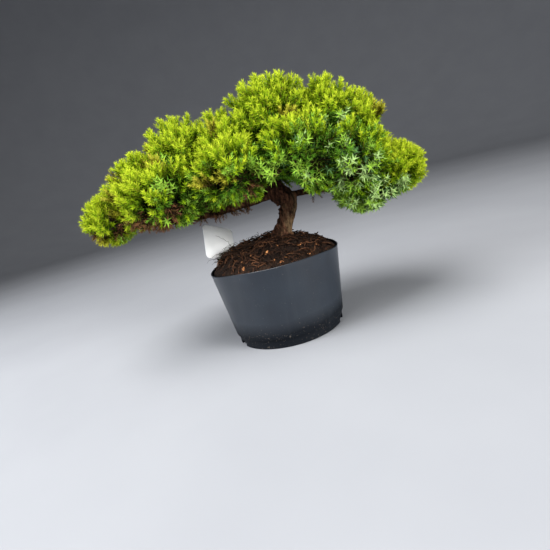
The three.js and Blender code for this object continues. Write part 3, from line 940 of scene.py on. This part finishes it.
def add_studio():
    for name, place, target, size, power, colour in LIGHTS:
        data = bpy.data.lights.new(name, "AREA")
        data.shape = "RECTANGLE"
        data.size, data.size_y = size
        data.energy = power
        data.color = colour
        light = add_object(name, data)
        light.location = place
        way = Vector(target) - Vector(place)
        light.rotation_euler = way.to_track_quat("-Z", "Y").to_euler()
    world = bpy.data.worlds.new("studio")
    world.use_nodes = True
    background = world.node_tree.nodes["Background"].inputs
    background["Color"].default_value = (*STUDIO["colour"], 1)
    background["Strength"].default_value = STUDIO["strength"]
    scene.world = world
    scene.view_settings.view_transform = "Standard"

    flat, curve = FLOOR["flat"], FLOOR["curve"]
    turns = np.linspace(math.pi / 2, 0, FLOOR["steps"])
    bowl = [(flat + curve * math.sin(turn), curve * (1 - math.cos(turn))) for turn in turns]
    outline = [(flat + curve, 4 * curve), *bowl, (0, 0)]
    pale = Finish("floor_pale", (0.28, 0.29, 0.315), 0.7)
    cloud = pale.grain(pale.own_place(), 6, 3)
    stops = (0.3, (0.27, 0.28, 0.305)), (0.7, (0.29, 0.30, 0.325))
    pale.link("Base Color", pale.ramp(cloud, *stops))
    floor = add_object("floor", turned_mesh("floor", outline, FLOOR["sides"]), pale.material)
    floor.data.shade_smooth()


# ------------------------------------------------------------------ pot, soil and label


def rim_wave(angle):
    wave = 0.2 * math.sin(5 * angle) - math.cos(2 * angle) - 0.3 * math.cos(angle)
    return POT["rim_wave"] * wave


def wall_radius(z):
    if z <= POT["band"]:
        return POT["foot_radius"] - POT["band_in"]
    share = (z - POT["band"] - 1) / (POT["height"] - POT["band"] - 1)
    return lerp(POT["foot_radius"] + POT["band_in"], POT["rim_radius"], share)


def turned_mesh(name, profile, sides, height_at=None):
    """Turns a profile, from axis to axis, once round. height_at(x, y, z, row) may move a point."""
    points, faces, rings = [], [], []
    for row, (radius, z) in enumerate(profile):
        count = sides if radius else 1
        rings.append([len(points) + k % count for k in range(sides)])
        for k in range(count):
            angle = math.tau * k / sides
            x, y = radius * math.cos(angle), radius * math.sin(angle)
            points.append((x, y, height_at(x, y, z, row) if height_at else z))
    for low, high in zip(rings, rings[1:]):
        for k in range(sides):
            corners = [low[k], low[(k + 1) % sides], high[(k + 1) % sides], high[k]]
            faces.append(list(dict.fromkeys(corners)))
    return mesh_of(name, points, faces)


def build_pot(material):
    keys = ("height", "wall", "floor", "band", "soft")
    height, wall, floor, band, soft = (POT[key] for key in keys)
    rim = wall_radius(height)
    profile = [
        (0, 0),
        (wall_radius(0) - soft, 0),
        (wall_radius(0), soft),
        (wall_radius(band), band - soft),
        (wall_radius(band) + soft, band + 0.25),
        (wall_radius(band + 1), band + 1),
        *[(wall_radius(z), z) for z in np.linspace(band + 4, height - 3, 12)],
        (rim, height - soft),
        (rim - soft, height),
        (rim - wall + soft, height),
        (rim - wall, height - soft),
        (wall_radius(height - 4) - wall, height - 4),
        (wall_radius(band + 1) - wall, band + 1),
        (wall_radius(floor) - wall, floor),
        (0, floor),
    ]

    def hand_cut(x, y, z, row):
        return z + rim_wave(math.atan2(y, x)) if z > height - 1 else z

    shell = turned_mesh("pot_shell", profile, POT["sides"], hand_cut)
    turns = [math.radians(angle) for angle in POT["slots"]]
    radius = POT["foot_radius"]
    spots = [(radius * math.cos(turn), radius * math.sin(turn), 0) for turn in turns]
    marks = add_object("slot_spots", mesh_of("slot_spots", spots))
    give(marks.data, "turn", "FLOAT", turns)
    pot = grown(
        "pot_cut_down",
        shell,
        drain_slots_recipe(material),
        Spots=marks,
        Depth=POT["slot_depth"] * MM,
        Width=POT["slot_width"] * MM,
        Height=2 * POT["slot_height"] * MM,
    )
    bpy.data.objects.remove(marks)
    finish_piece(pot, "pot", "pot")


def soil_radius(z):
    return wall_radius(z) - POT["wall"] - SOIL["gap"]


def mound_height(x, y):
    """Height of the mound in mm, with its lumps and crumbs."""
    radius, grain = soil_radius(SOIL["edge"]), SOIL["crumb_size"]
    share = min(1, math.hypot(x, y) / radius)
    z = SOIL["edge"] + SOIL["rise"] * (1 - share ** (SOIL["fall"] - SOIL["lean"] * x / radius))
    z += SOIL["lump"] * float(swell(x, y, z, SOIL["lump_size"], 3)) * (1 - share**6)
    crumbs = noise.fractal((x * grain, y * grain, 4.0), 0.7, 2.1, 5)
    return z + SOIL["crumb"] * crumbs * (1 - 0.5 * share)


def mound_mesh(name, rings, whole, share=1.0):
    """The mound's top out to a share of its radius, or with whole the soil from the floor up."""
    edge, floor, shoulder = SOIL["edge"], POT["floor"] + SOIL["gap"], POT["band"] + 1
    outline = []
    if whole:
        outline = [(0, floor), *((soil_radius(z), z) for z in (floor, shoulder, edge))]
    top_from = len(outline)
    for ring in range(rings - (1 if whole else 0), -1, -1):
        outline.append((soil_radius(edge) * share * ring / rings, edge + 1))

    def lumpy(x, y, z, row):
        return mound_height(x, y) if row >= top_from else z

    return turned_mesh(name, outline, SOIL["sectors"], lumpy)


def tube_set(name, lines, thick, recipe, green_below=0.0):
    """Tubes round lines of points in mm, with a radius in mm for each point."""
    edges, first = [], 0
    for line in lines:
        edges += [(first + k, first + k + 1) for k in range(len(line) - 1)]
        first += len(line)
    mesh = mesh_of(name + "_lines", np.vstack(lines), edges=edges)
    give(mesh, "thick", "FLOAT", np.concatenate(thick) * MM)
    return grown(name, mesh, recipe, Sides=3, Green_Below=green_below * MM)


def library(name, objects):
    """Keeps objects to be set out by a recipe, apart from the scene's own pieces."""
    made = bpy.data.collections.new(name)
    scene.collection.children.link(made)
    for item in objects:
        for holder in list(item.users_collection):
            holder.objects.unlink(item)
        made.objects.link(item)
    return made


def drop_library(collection):
    for item in list(collection.objects):
        bpy.data.objects.remove(item)
    bpy.data.collections.remove(collection)


def strand(name, recipe, rng, length, radius, curl, hump, steps=7):
    """A thin root as a tube that lies roughly flat round its own middle."""
    heading = np.cumsum(rng.normal(0, curl, steps))
    strides = np.stack([np.cos(heading), np.sin(heading)], axis=1) * length / steps
    flat = np.vstack([[0, 0], np.cumsum(strides, axis=0)])
    flat -= flat.mean(axis=0)
    arc = hump * np.sin(np.linspace(0, math.pi, steps + 1)) - 0.25 * hump
    line = np.column_stack([flat, arc + rng.normal(0, 0.15 * hump, steps + 1)])
    return tube_set(name, [line], [radius * np.linspace(1, 0.45, steps + 1)], recipe)


def chip(name, rng, size):
    """A flat, broken flake of bark: a squashed ball with knocked-off corners."""
    flake = bmesh.new()
    bmesh.ops.create_icosphere(flake, subdivisions=1, radius=1)
    for vertex in flake.verts:
        vertex.co *= float(rng.uniform(0.6, 1.15))
        vertex.co.x *= size * float(rng.uniform(0.8, 1.3)) * MM
        vertex.co.y *= size * 0.5 * MM
        vertex.co.z *= size * 0.22 * MM
    return add_object(name, mesh_from(name, flake))


def hair(rng, start, heading, length):
    """A thin root that rises out of the soil, curls over and comes down again."""
    steps = HAIRS["steps"]
    turns = heading + np.cumsum(rng.normal(0, HAIRS["turn"], steps))
    climb = np.linspace(*HAIRS["climb"], steps) + rng.normal(0, HAIRS["shake"], steps)
    way = np.column_stack([np.cos(turns), np.sin(turns), climb])
    way /= np.linalg.norm(way, axis=1)[:, None]
    return np.vstack([start, start + np.cumsum(way * length / steps, axis=0)])


def build_soil(tubes):
    mound = mound_mesh("soil_mound", SOIL["rings"], True)
    finish_piece(add_object("soil_mound", mound, earth()), "soil", "soil")

    rng = np.random.default_rng(SEEDS["soil"])
    for seed, row in enumerate(STREWN, SEEDS["strewn"]):
        name, kind, (count, *sizes), dark, light, density, share = row
        names = [f"{name}_bit_{k}" for k in range(count)]
        if kind == "strands":
            bits = [strand(bit, tubes, rng, *sizes) for bit in names]
        else:
            bits = [chip(bit, rng, *sizes) for bit in names]
        bits = library(name + "_bit", bits)
        recipe = strewn_recipe(name, strewn_finish(name + "_finish", dark, light))
        top = mound_mesh(name + "_ground", SOIL["ground_rings"], False, share)
        piece = grown(name, top, recipe, Bits=bits, Density=density, Seed=seed, **BIT_SIZES)
        drop_library(bits)
        finish_piece(piece, "soil", "soil")

    hairs, thick = [], []
    for _ in range(HAIRS["count"]):
        angle, out = rng.uniform(*HAIRS["from_to"]), rng.uniform(*HAIRS["out"])
        place = soil_radius(SOIL["edge"]) * out * np.array([math.cos(angle), math.sin(angle)])
        start = (*place, mound_height(*place) - 1)
        hairs.append(hair(rng, start, rng.uniform(0, math.tau), rng.uniform(*HAIRS["length"])))
        thick.append(np.linspace(HAIRS["radius"], HAIRS["tip_radius"], len(hairs[-1])))
    steps = HAIRS["stray_steps"]
    stray = through(HAIRS["stray"]).at(np.linspace(0, 1, steps))
    hairs.append(stray + rng.normal(0, HAIRS["stray_shake"], (steps, 3)))
    thick.append(np.linspace(HAIRS["radius"], HAIRS["stray_tip"], steps))
    wisps = tube_set("root_hairs", hairs, thick, tubes)
    wisps.data.materials.clear()
    dark, light = (0.010, 0.006, 0.004), (0.045, 0.024, 0.015)
    wisps.data.materials.append(strewn_finish("root_hair_finish", dark, light))
    finish_piece(wisps, "soil", "soil")


def build_label(material):
    """A tee-shaped plate: a pointed stem in the soil and a head with round corners."""
    along = unit(np.array(LABEL["along"]))
    across = np.array(LABEL["across"], float)
    across = unit(across - across.dot(along) * along)
    up = np.cross(along, across)
    half, stem, neck = LABEL["head_width"] / 2, LABEL["stem_width"] / 2, LABEL["stem"]
    end, c = neck + LABEL["head_length"], LABEL["corner"]
    outline = [(0, 0), (stem, -stem), (neck, -stem)]
    for (x, y), first in (
        ((neck + c, c - half), math.pi),
        ((end - c, c - half), 1.5 * math.pi),
        ((end - c, half - c), 0),
        ((neck + c, half - c), 0.5 * math.pi),
    ):
        for t in np.linspace(0, math.pi / 2, LABEL["corner_steps"]):
            outline.append((x + c * math.cos(first + t), y + c * math.sin(first + t)))
    outline += [(neck, stem), (stem, stem)]
    plate = bmesh.new()
    corners = []
    for a, b in outline:
        place = np.array(LABEL["root"]) + a * along + b * across - up * LABEL["thick"] / 2
        corners.append(plate.verts.new(place * MM))
    raised = bmesh.ops.extrude_face_region(plate, geom=[plate.faces.new(corners)])["geom"]
    for vertex in (item for item in raised if isinstance(item, bmesh.types.BMVert)):
        vertex.co += Vector(up * LABEL["thick"] * MM)
    bmesh.ops.recalc_face_normals(plate, faces=plate.faces)
    rims = [e for e in plate.edges if len({len(f.verts) > 4 for f in e.link_faces}) == 2]
    bmesh.ops.bevel(plate, geom=rims, offset=LABEL["bevel"] * MM, segments=2, affect="EDGES")
    label = add_object("plant_label", mesh_from("plant_label", plate), material)
    finish_piece(label, "label", "label")


# ------------------------------------------------------------------ trunk and boughs


def trunk_radius(share, side, centre):
    """Root ridges near the cut, a waist, a thick fork, and a taper to the leader's tip."""
    lift = max(0, 1 - (centre[2] - TRUNK["foot_level"]) / TRUNK["flare_height"])
    ridge = 0.5 + 0.5 * math.cos(TRUNK["ridges"] * math.atan2(side[1], side[0]) + 0.9)
    upper = max(0, (share - TRUNK["fork"]) / (1 - TRUNK["fork"]))
    thick = clamp(2 * share / TRUNK["fork"] - 1)
    below = lerp(TRUNK["waist_radius"], TRUNK["fork_radius"], thick * thick * (3 - 2 * thick))
    waist = lerp(below, TRUNK["tip_radius"], upper**0.8)
    foot = (TRUNK["foot_radius"] - TRUNK["waist_radius"]) * min(1, lift * 2)
    return waist + foot + TRUNK["flare"] * min(1, lift) ** 2 * (0.35 + 0.65 * ridge)


def trunk_wear(centre, out):
    """Where the bark has come off: the right of the trunk's middle."""
    middle, half = TRUNK["worn"]
    height = math.exp(-(((centre[2] - middle) / half) ** 4))
    return height * clamp(0.35 + 0.9 * float(out @ unit(np.array(TRUNK["worn_side"]))))


def bark_relief(point, centre, far, deep):
    """Long fibres, loose plates and ragged gaps along a limb, in mm. far is the length up it."""
    x, y, z = point - centre
    fibre = noise.fractal((x * 0.75, y * 0.75 + z * 0.3, far * 0.11), 0.8, 2.2, 4)
    plate = noise.noise((x * 0.26 + 9, y * 0.26 + z * 0.2, far * 0.09))
    step = clamp((plate + 0.05) * 5)
    ragged = 0.5 - 2.2 * abs(noise.noise((x * 0.2 - 4, y * 0.2 + z * 0.1, far * 0.23)))
    return deep * (0.7 * fibre + 0.8 * step + 0.9 * ragged - 0.45)


def wrapped_limb(name, path, radius, sizes, deep, worn_at=None):
    """A skin round a path with the bark's relief on it, closed at both ends."""
    sides, steps = sizes["sides"], sizes["steps"]
    points, faces, worn = [], [], []
    side = unit(np.cross(path.way(0), (0.31, 0.94, 0.1)))
    for step in range(steps + 1):
        share = step / steps
        centre, way = path.at(share), path.way(share)
        side = unit(side - side.dot(way) * way)
        other = np.cross(way, side)
        for k in range(sides):
            angle = math.tau * k / sides
            out = math.cos(angle) * side + math.sin(angle) * other
            smooth = worn_at(centre, out) if worn_at else 0
            bare = centre + out * radius(share, out, centre)
            relief = bark_relief(bare, centre, share * path.length, deep) * (1 - 0.75 * smooth)
            points.append(bare + out * relief)
            worn.append(smooth)
    for step in range(steps):
        for k in range(sides):
            a, b = step * sides + k, step * sides + (k + 1) % sides
            faces.append((a, b, b + sides, a + sides))
    faces.append(tuple(reversed(range(sides))))
    faces.append(tuple(range(steps * sides, (steps + 1) * sides)))
    mesh = mesh_of(name, points, faces)
    give(mesh, "worn", "FLOAT", worn)
    return mesh


def cut_level(mesh, level):
    """Cuts a closed mesh off flat below a level and closes it."""
    shape = bmesh.new()
    shape.from_mesh(mesh)
    whole = [*shape.verts, *shape.edges, *shape.faces]
    plane = {"plane_co": (0, 0, level), "plane_no": (0, 0, -1), "clear_outer": True}
    bmesh.ops.bisect_plane(shape, geom=whole, **plane)
    bmesh.ops.holes_fill(shape, edges=[e for e in shape.edges if e.is_boundary])
    bmesh.ops.recalc_face_normals(shape, faces=shape.faces)
    shape.to_mesh(mesh)
    shape.free()


def build_limbs():
    """The trunk and every bough. Gives the path of the limb that carries each cushion, by name."""
    trunk_bark = bark("flaky_trunk", (0.052, 0.022, 0.012), (0.142, 0.092, 0.048))
    bough_bark = bark("flaky_boughs", (0.055, 0.025, 0.012), (0.11, 0.07, 0.045))
    path, name = through(TRUNK["bends"]), "trunk_and_leader"
    mesh = wrapped_limb(name, path, trunk_radius, TRUNK, TRUNK["relief"], trunk_wear)
    cut_level(mesh, TRUNK["foot_level"] * MM)
    finish_piece(add_object(name, mesh, trunk_bark), "trunk_bark", "trunk", smooth=True)

    paths = {"trunk": path, "top": path}
    for cushion, centre, radii in zip(CUSHIONS, CENTRES, RADII):
        if cushion["name"] in paths:
            continue
        start = paths[cushion["limb"]].at(cushion["at"])
        entry = centre + unit(np.array(cushion["enters"], float)) * radii * CORE_SHARE
        middle = lerp(start, entry, 0.5) + 2 * np.array(cushion["bow"], float)
        path = bent(start, middle, entry, 40)
        paths[cushion["name"]] = path

        def radius(share, out, centre, thick=cushion["radius"]):
            return thick * (1 - (1 - BOUGH["tip_share"]) * share)

        name = "bough_" + cushion["name"]
        relief = BOUGH["relief"] * cushion["radius"]
        mesh = wrapped_limb(name + "_bark", path, radius, BOUGH, relief)
        bough = add_object(name + "_bark", mesh, bough_bark)
        finish_piece(bough, "bough_bark", name, smooth=True)
    return paths


# ------------------------------------------------------------------ cushions of needles


def depths(points):
    """How far out each point lies in every cushion: 0 at its centre and 1 on its skin."""
    return np.linalg.norm((np.atleast_2d(points)[:, None] - CENTRES) / RADII, axis=2)


def crown_depth(points):
    """As depths, for the crown as one whole whose cushions flow into each other."""
    return -np.log(np.exp(-BLEND * depths(points)).sum(axis=1)) / BLEND


def in_opening(points, openings=OPENINGS):
    """Whether each point lies in a gap that nothing grows into."""
    inside = np.zeros(len(np.atleast_2d(points)), bool)
    for centre, radii in openings:
        inside |= np.linalg.norm((np.atleast_2d(points) - centre) / radii, axis=1) <= 1
    return inside


def owns(index, points, reach, slack=0.0):
    """Whether each point is in the crown, clear of gaps and nearer this cushion than any other."""
    depth = depths(points)
    own = depth[:, index].copy()
    depth[:, index] = np.inf
    kept = (crown_depth(points) <= reach) & (depth.min(axis=1) > own - slack)
    return kept & ~in_opening(points)


def over_shade(place):
    """How far a place lies over the crown's shade line, in shares of the fade."""
    return (place[2] - np.interp(place[0], *zip(*SHADE_LINE))) / SHADE_FADE


def pocket_depth(place):
    """How deep a place lies in the crown's dark pockets of painted shade, from 0 to 1."""
    return max(0, *(1 - np.linalg.norm((place - np.array(c)) / radii) for c, radii in SHADE_POCKETS))


def spread_direction(k, seed):
    """Directions that stay evenly spread all round, however many of them are used."""
    z = 1 - 2 * ((chance(seed, 1) + k * 0.7548777) % 1)
    angle = math.tau * ((chance(seed, 2) + k * 0.5698403) % 1)
    flat = math.sqrt(1 - z * z)
    return np.array([flat * math.cos(angle), flat * math.sin(angle), z])


def skin_area(a, b, c, power=1.6):
    """Area of an ellipsoid, near enough."""
    sides = (a * b) ** power + (a * c) ** power + (b * c) ** power
    return 4 * math.pi * (sides / 3) ** (1 / power)


class Growth:
    """What one cushion grows: lines for its stems and points for its needled shoots."""

    def __init__(self, index, cushion, limb):
        self.index, self.cushion, self.limb = index, cushion, limb
        self.seed = index + 1
        self.rng = np.random.default_rng(SEEDS["growth"] + index)
        self.centre, self.radii = CENTRES[index], RADII[index]
        self.patches = skin_area(*self.radii) / TWIG["patch"]
        self.lines, self.thick = [], []
        self.shoots = []  # for each its place, aim, size, kind and tone
        self.straw = False  # whether the twig that grows now is drying out

    def add_line(self, points, root, tip):
        self.lines.append(np.asarray(points))
        self.thick.append(np.linspace(root, tip, len(points)))

    def tip_for(self, direction, share):
        """The furthest point along a direction that is still in the cushion's own space."""
        shares = np.arange(TWIG["nearest"], 1.3, 0.02)
        tips = self.centre + direction * self.radii * shares[:, None]
        inside = owns(self.index, tips, share)
        if not inside.any():
            return None
        last = np.nonzero(inside)[0][-1]
        short = shares[last] < TWIG["least"]
        return None if short and not in_opening(tips[last + 1])[0] else tips[last]

    def tone(self, tip, aim, cool, dead):
        """The colour of a shoot, by where it ends and which way it looks, with painted light and
        shade: darker deep in the crown and in a pocket, lighter looking up or into a lit gap.
        """
        depth = float(crown_depth(tip)[0])
        # Painted light: a shoot that looks into a lit gap is toned as if it were on the crown's
        # skin.
        if in_opening(tip + LIGHT_REACH * aim, LIT_OPENINGS)[0]:
            depth = 1.0
        if dead:
            return TONES["dead_dark"]
        if self.straw:
            return TONES["straw_dark"]
        over, pocket = over_shade(tip), pocket_depth(tip)
        # Blue-green and leaf-green take a lit tone or a painted-shade one.
        if cool:
            lit = depth > COOL["lit_depth"] and self.rng.random() > COOL["pocket"] * pocket
            family = "cool" if tip[0] > self.rng.normal(*COOL["blue_from"]) else "leaf"
            lit = lit or self.rng.random() < COOL["lit_anyway"]
            return TONES[family if lit else family + "_shadow"]
        if over < LEAF["below"] and self.rng.random() < LEAF["share"]:
            lit = depth > LEAF["lit_depth"] and self.rng.random() > LEAF["pocket"] * pocket
            return TONES["leaf" if lit else "leaf_shadow"]
        # Painted light for a shoot that looks up, and painted shade in a pocket and deep in the
        # crown.
        sun = SUN["base"] + SUN["over_shade"] * min(over, SUN["most_over"])
        sun += SUN["upwards"] * aim[2]
        sun = sun + self.rng.normal(0, SUN["scatter"]) - SUN["pocket"] * pocket
        depth_shade = SUN["dimming"] * max(0, SUN["lit_depth"] - depth)
        return int(np.clip(round(sun - depth_shade), 0, TONES["fresh"]))

    def add_shoot(self, start, tip, cool=False, dead=False):
        """Puts a shoot on a line from start to tip, needled along its outer part."""
        span = np.linalg.norm(tip - start)
        aim = (tip - start) / span
        needled = float(np.clip(span * SHOOT["needled_share"], *SHOOT["needled"]))
        if dead:
            kind = WITHERED
        elif cool:
            kind = STAR if self.rng.random() < SHOOT["star_share"] else OPEN
            needled = min(needled, SHOOT["star_longest"])
        else:
            finger = FINGER if needled > SHOOT["finger_from"] else SHORT
            kind = PLUME if needled > SHOOT["plume_from"] else finger
        length = SHOOT_KINDS[KINDS[kind]][0]
        size = float(np.clip(needled / length, *SHOOT["size"]))
        size *= self.rng.uniform(*SHOOT["size_scatter"])
        spin = Quaternion((0, 0, 1), self.rng.uniform(0, math.tau))
        turn = tuple(Vector(aim).to_track_quat("Z", "Y") @ spin)
        tone = self.tone(tip, aim, cool, dead)
        self.shoots.append((tip - aim * length * size, turn, size, kind, tone))
        self.add_line([start, tip - aim * SHOOT["stem_short"]], *SHOOT["stem_radius"])

    def add_fan(self, path, direction, cool, dead):
        """Side shoots up a twig, and the leader at its end."""
        wood = path.at(np.linspace(0, TWIG["wood_to"], TWIG["joints"]))
        self.add_line(wood, TWIG["root_radius"], TWIG["tip_radius"])
        turn = self.rng.uniform(0, math.tau)
        self.straw = not cool and self.rng.random() < STRAW[self.centre[0] < STRAW_LEFT_OF]
        rise = np.array([0, 0, FAN["up"] if direction[2] > UNDERSIDE else FAN["down"]])
        cuts = FAN["cuts"] if path.length > FAN["short_twig"] else FAN["short_cuts"]
        for m in range(FAN["shoots"]):
            along = m / (FAN["shoots"] - 1)
            share = lerp(FAN["from"], FAN["to"], along)
            start, way = path.at(share), path.way(share)
            side = unit(np.cross(way, (0.3, 0.5, 0.81)))
            angle = turn + m * GOLDEN_ANGLE
            out = math.cos(angle) * side + math.sin(angle) * np.cross(way, side)
            lean = FAN["angle"] * self.rng.uniform(*FAN["angle_scatter"])
            aim = unit(math.cos(lean) * way + math.sin(lean) * out + rise)
            length = lerp(FAN["longest"], FAN["shortest"], along)
            tip = start + aim * (length * self.rng.uniform(*FAN["length_scatter"]))
            for _ in range(cuts):
                if owns(self.index, tip, TWIG["reach"], TWIG["slack"])[0]:
                    break
                tip = lerp(start, tip, FAN["cut"])
            else:
                continue
            wilted = dead and self.rng.random() < FAN["dead_share"]
            blue = cool and self.rng.random() < FAN["cool_share"]
            self.add_shoot(start, tip, blue, wilted)
        self.add_shoot(path.at(FAN["leader_from"]), path.at(1.0), cool, dead)
        self.straw = False

    def add_twigs(self):
        """Twigs that leave the stem for places spread evenly over the cushion's skin."""
        entry, seed = self.limb.at(1), self.seed
        stem = [entry, lerp(entry, self.centre, 0.5), self.centre]
        self.add_line(stem, STEM["root_radius"], STEM["tip_radius"])
        stem = Path([entry, self.centre])
        for k in range(round(self.patches)):
            direction = spread_direction(k, seed)
            reach = lerp(TWIG["longest"], TWIG["shortest"], chance(seed + 9, k))
            tip = self.tip_for(direction, reach)
            if tip is None:
                continue
            if noise.noise(tip / HOLLOWS["size"]) > HOLLOWS["above"]:
                tip = lerp(self.centre, tip, HOLLOWS["share"])
            root = stem.at(STEM["from"] + (1 - STEM["from"]) * chance(seed + 7, k))
            elbow = lerp(root, tip, TWIG["elbow"])
            elbow[2] -= TWIG["lift"] * np.linalg.norm(tip - root) * (1 - abs(direction[2]))
            steep = math.exp(COOL["steep"] * over_shade(tip) + COOL["shift"])
            cool = self.rng.random() < COOL["share"] / (1 + steep)
            dead = direction[2] < UNDERSIDE and self.rng.random() < self.cushion["dead"]
            self.add_fan(bent(root, elbow, tip), direction, cool, dead)

    def fill_inside(self):
        """Shoots inside the cushion, so that it isn't seen through."""
        for k in range(round(self.patches * INSIDE["share"])):
            direction = spread_direction(k + INSIDE["first"], self.seed)
            tip = self.centre + direction * self.radii * self.rng.uniform(*INSIDE["depth"])
            if in_opening(tip)[0]:
                tip = lerp(self.centre, tip, INSIDE["drawn_in"])
            if owns(self.index, tip, 1)[0]:
                low = direction[2] < INSIDE["dead_below"]
                dead = low and self.rng.random() < self.cushion["dead"]
                cool = over_shade(tip) < COOL["inside_below"]
                self.add_shoot(lerp(self.centre, tip, INSIDE["from"]), tip, cool, dead)

    def line_gaps(self):
        """Short shoots where a gap cuts the cushion off, so that no bare wood shows there."""
        for k in range(round(self.patches * LINING["share"])):
            direction = spread_direction(k + LINING["first"], self.seed)
            skin = self.centre + direction * self.radii
            line = lerp(self.centre, skin, LINING["shares"])
            blocked = in_opening(line, LIT_OPENINGS)
            if blocked[-1] and not blocked[0]:
                tip = line[np.argmax(blocked) - 1]
                if owns(self.index, tip, 1)[0]:
                    self.add_shoot(lerp(self.centre, tip, LINING["from"]), tip)

    def add_litter(self, count):
        """Dead sprays that hang about the bough."""
        for _ in range(count):
            start = self.limb.at(self.rng.uniform(*LITTER_ALONG))
            aim = unit(self.rng.normal(0, 1, 3) * (1, 1, 0.6) - (0, 0, 0.5))
            self.add_shoot(start, start + aim * self.rng.uniform(*LITTER_LENGTH), dead=True)


def shoot_library():
    """One shoot of each kind, of needles that are awls of three faces.

    A needle is one wide and one long, and its wide upper face looks to +Y.
    """
    mesh = bpy.data.meshes.new("needle")
    corners = [(-0.5, 0, 0), (0.5, 0, 0), (0, -0.45, 0), (0, 0.06, 1)]
    mesh.from_pydata(corners, [], [(0, 3, 1), (0, 2, 3), (2, 1, 3)])
    give(mesh, "upper", "FLOAT", [1.0, 0.0, 0.0], "FACE")
    needle = add_object("needle", mesh)
    recipe = needle_shoot_recipe()
    shoots = []
    for index, (kind, sizes) in enumerate(SHOOT_KINDS.items()):
        length, whorls, needle_length, width, base, tip, bow = sizes
        shoot = grown(
            f"shoot_{index}_{kind}",
            bpy.data.meshes.new(kind),
            recipe,
            Needle=needle,
            Length=length * MM,
            Whorls=whorls,
            Needle_Length=needle_length * MM,
            Needle_Width=width * MM,
            Base_Spread=base,
            Tip_Spread=tip,
            Bow=bow * MM,
            Seed=SEEDS["shoots"] + index,
        )
        shoots.append(shoot)
    bpy.data.objects.remove(needle)
    return library("shoots", shoots)


def build_foliage(tubes, paths):
    shoots = shoot_library()
    colours = NEEDLES.items()
    finishes = [Finish("needle_" + name, colour, 0.75, 0.08).material for name, colour in colours]
    recipe = needle_spray_recipe(finishes)
    for index, cushion in enumerate(CUSHIONS):
        name = cushion["name"]
        growth = Growth(index, cushion, paths[name])
        growth.add_twigs()
        growth.fill_inside()
        growth.line_gaps()
        growth.add_litter(LITTER.get(name, 0))
        places, aims, sizes, kinds, tones = zip(*growth.shoots)
        points = mesh_of(f"foliage_{name}_points", places)
        give(points, "aim", "QUATERNION", aims)
        give(points, "size", "FLOAT", sizes)
        give(points, "kind", "INT", kinds)
        give(points, "tone", "INT", tones)
        slot = "needles_top" if cushion["centre"][2] >= SUNLIT_FROM else "needles_low"
        needles = grown("needles_" + name, points, recipe, Shoots=shoots, **TONE_STEPS)
        finish_piece(needles, slot, "foliage_" + name)
        green = TWIG["green_below"]
        twigs = tube_set("twigs_" + name, growth.lines, growth.thick, tubes, green)
        finish_piece(twigs, "bough_bark", "foliage_" + name)
    drop_library(shoots)


# ------------------------------------------------------------------ the plant

add_camera()
add_studio()
twig_bark = Finish("twig_bark", (0.085, 0.045, 0.024), 0.8).material
green_wood = Finish("green_wood", (0.200, 0.120, 0.020), 0.7).material
tubes = stem_recipe(twig_bark, green_wood)
build_pot(pot_plastic())
build_soil(tubes)
build_label(label_plastic())
build_foliage(tubes, build_limbs())
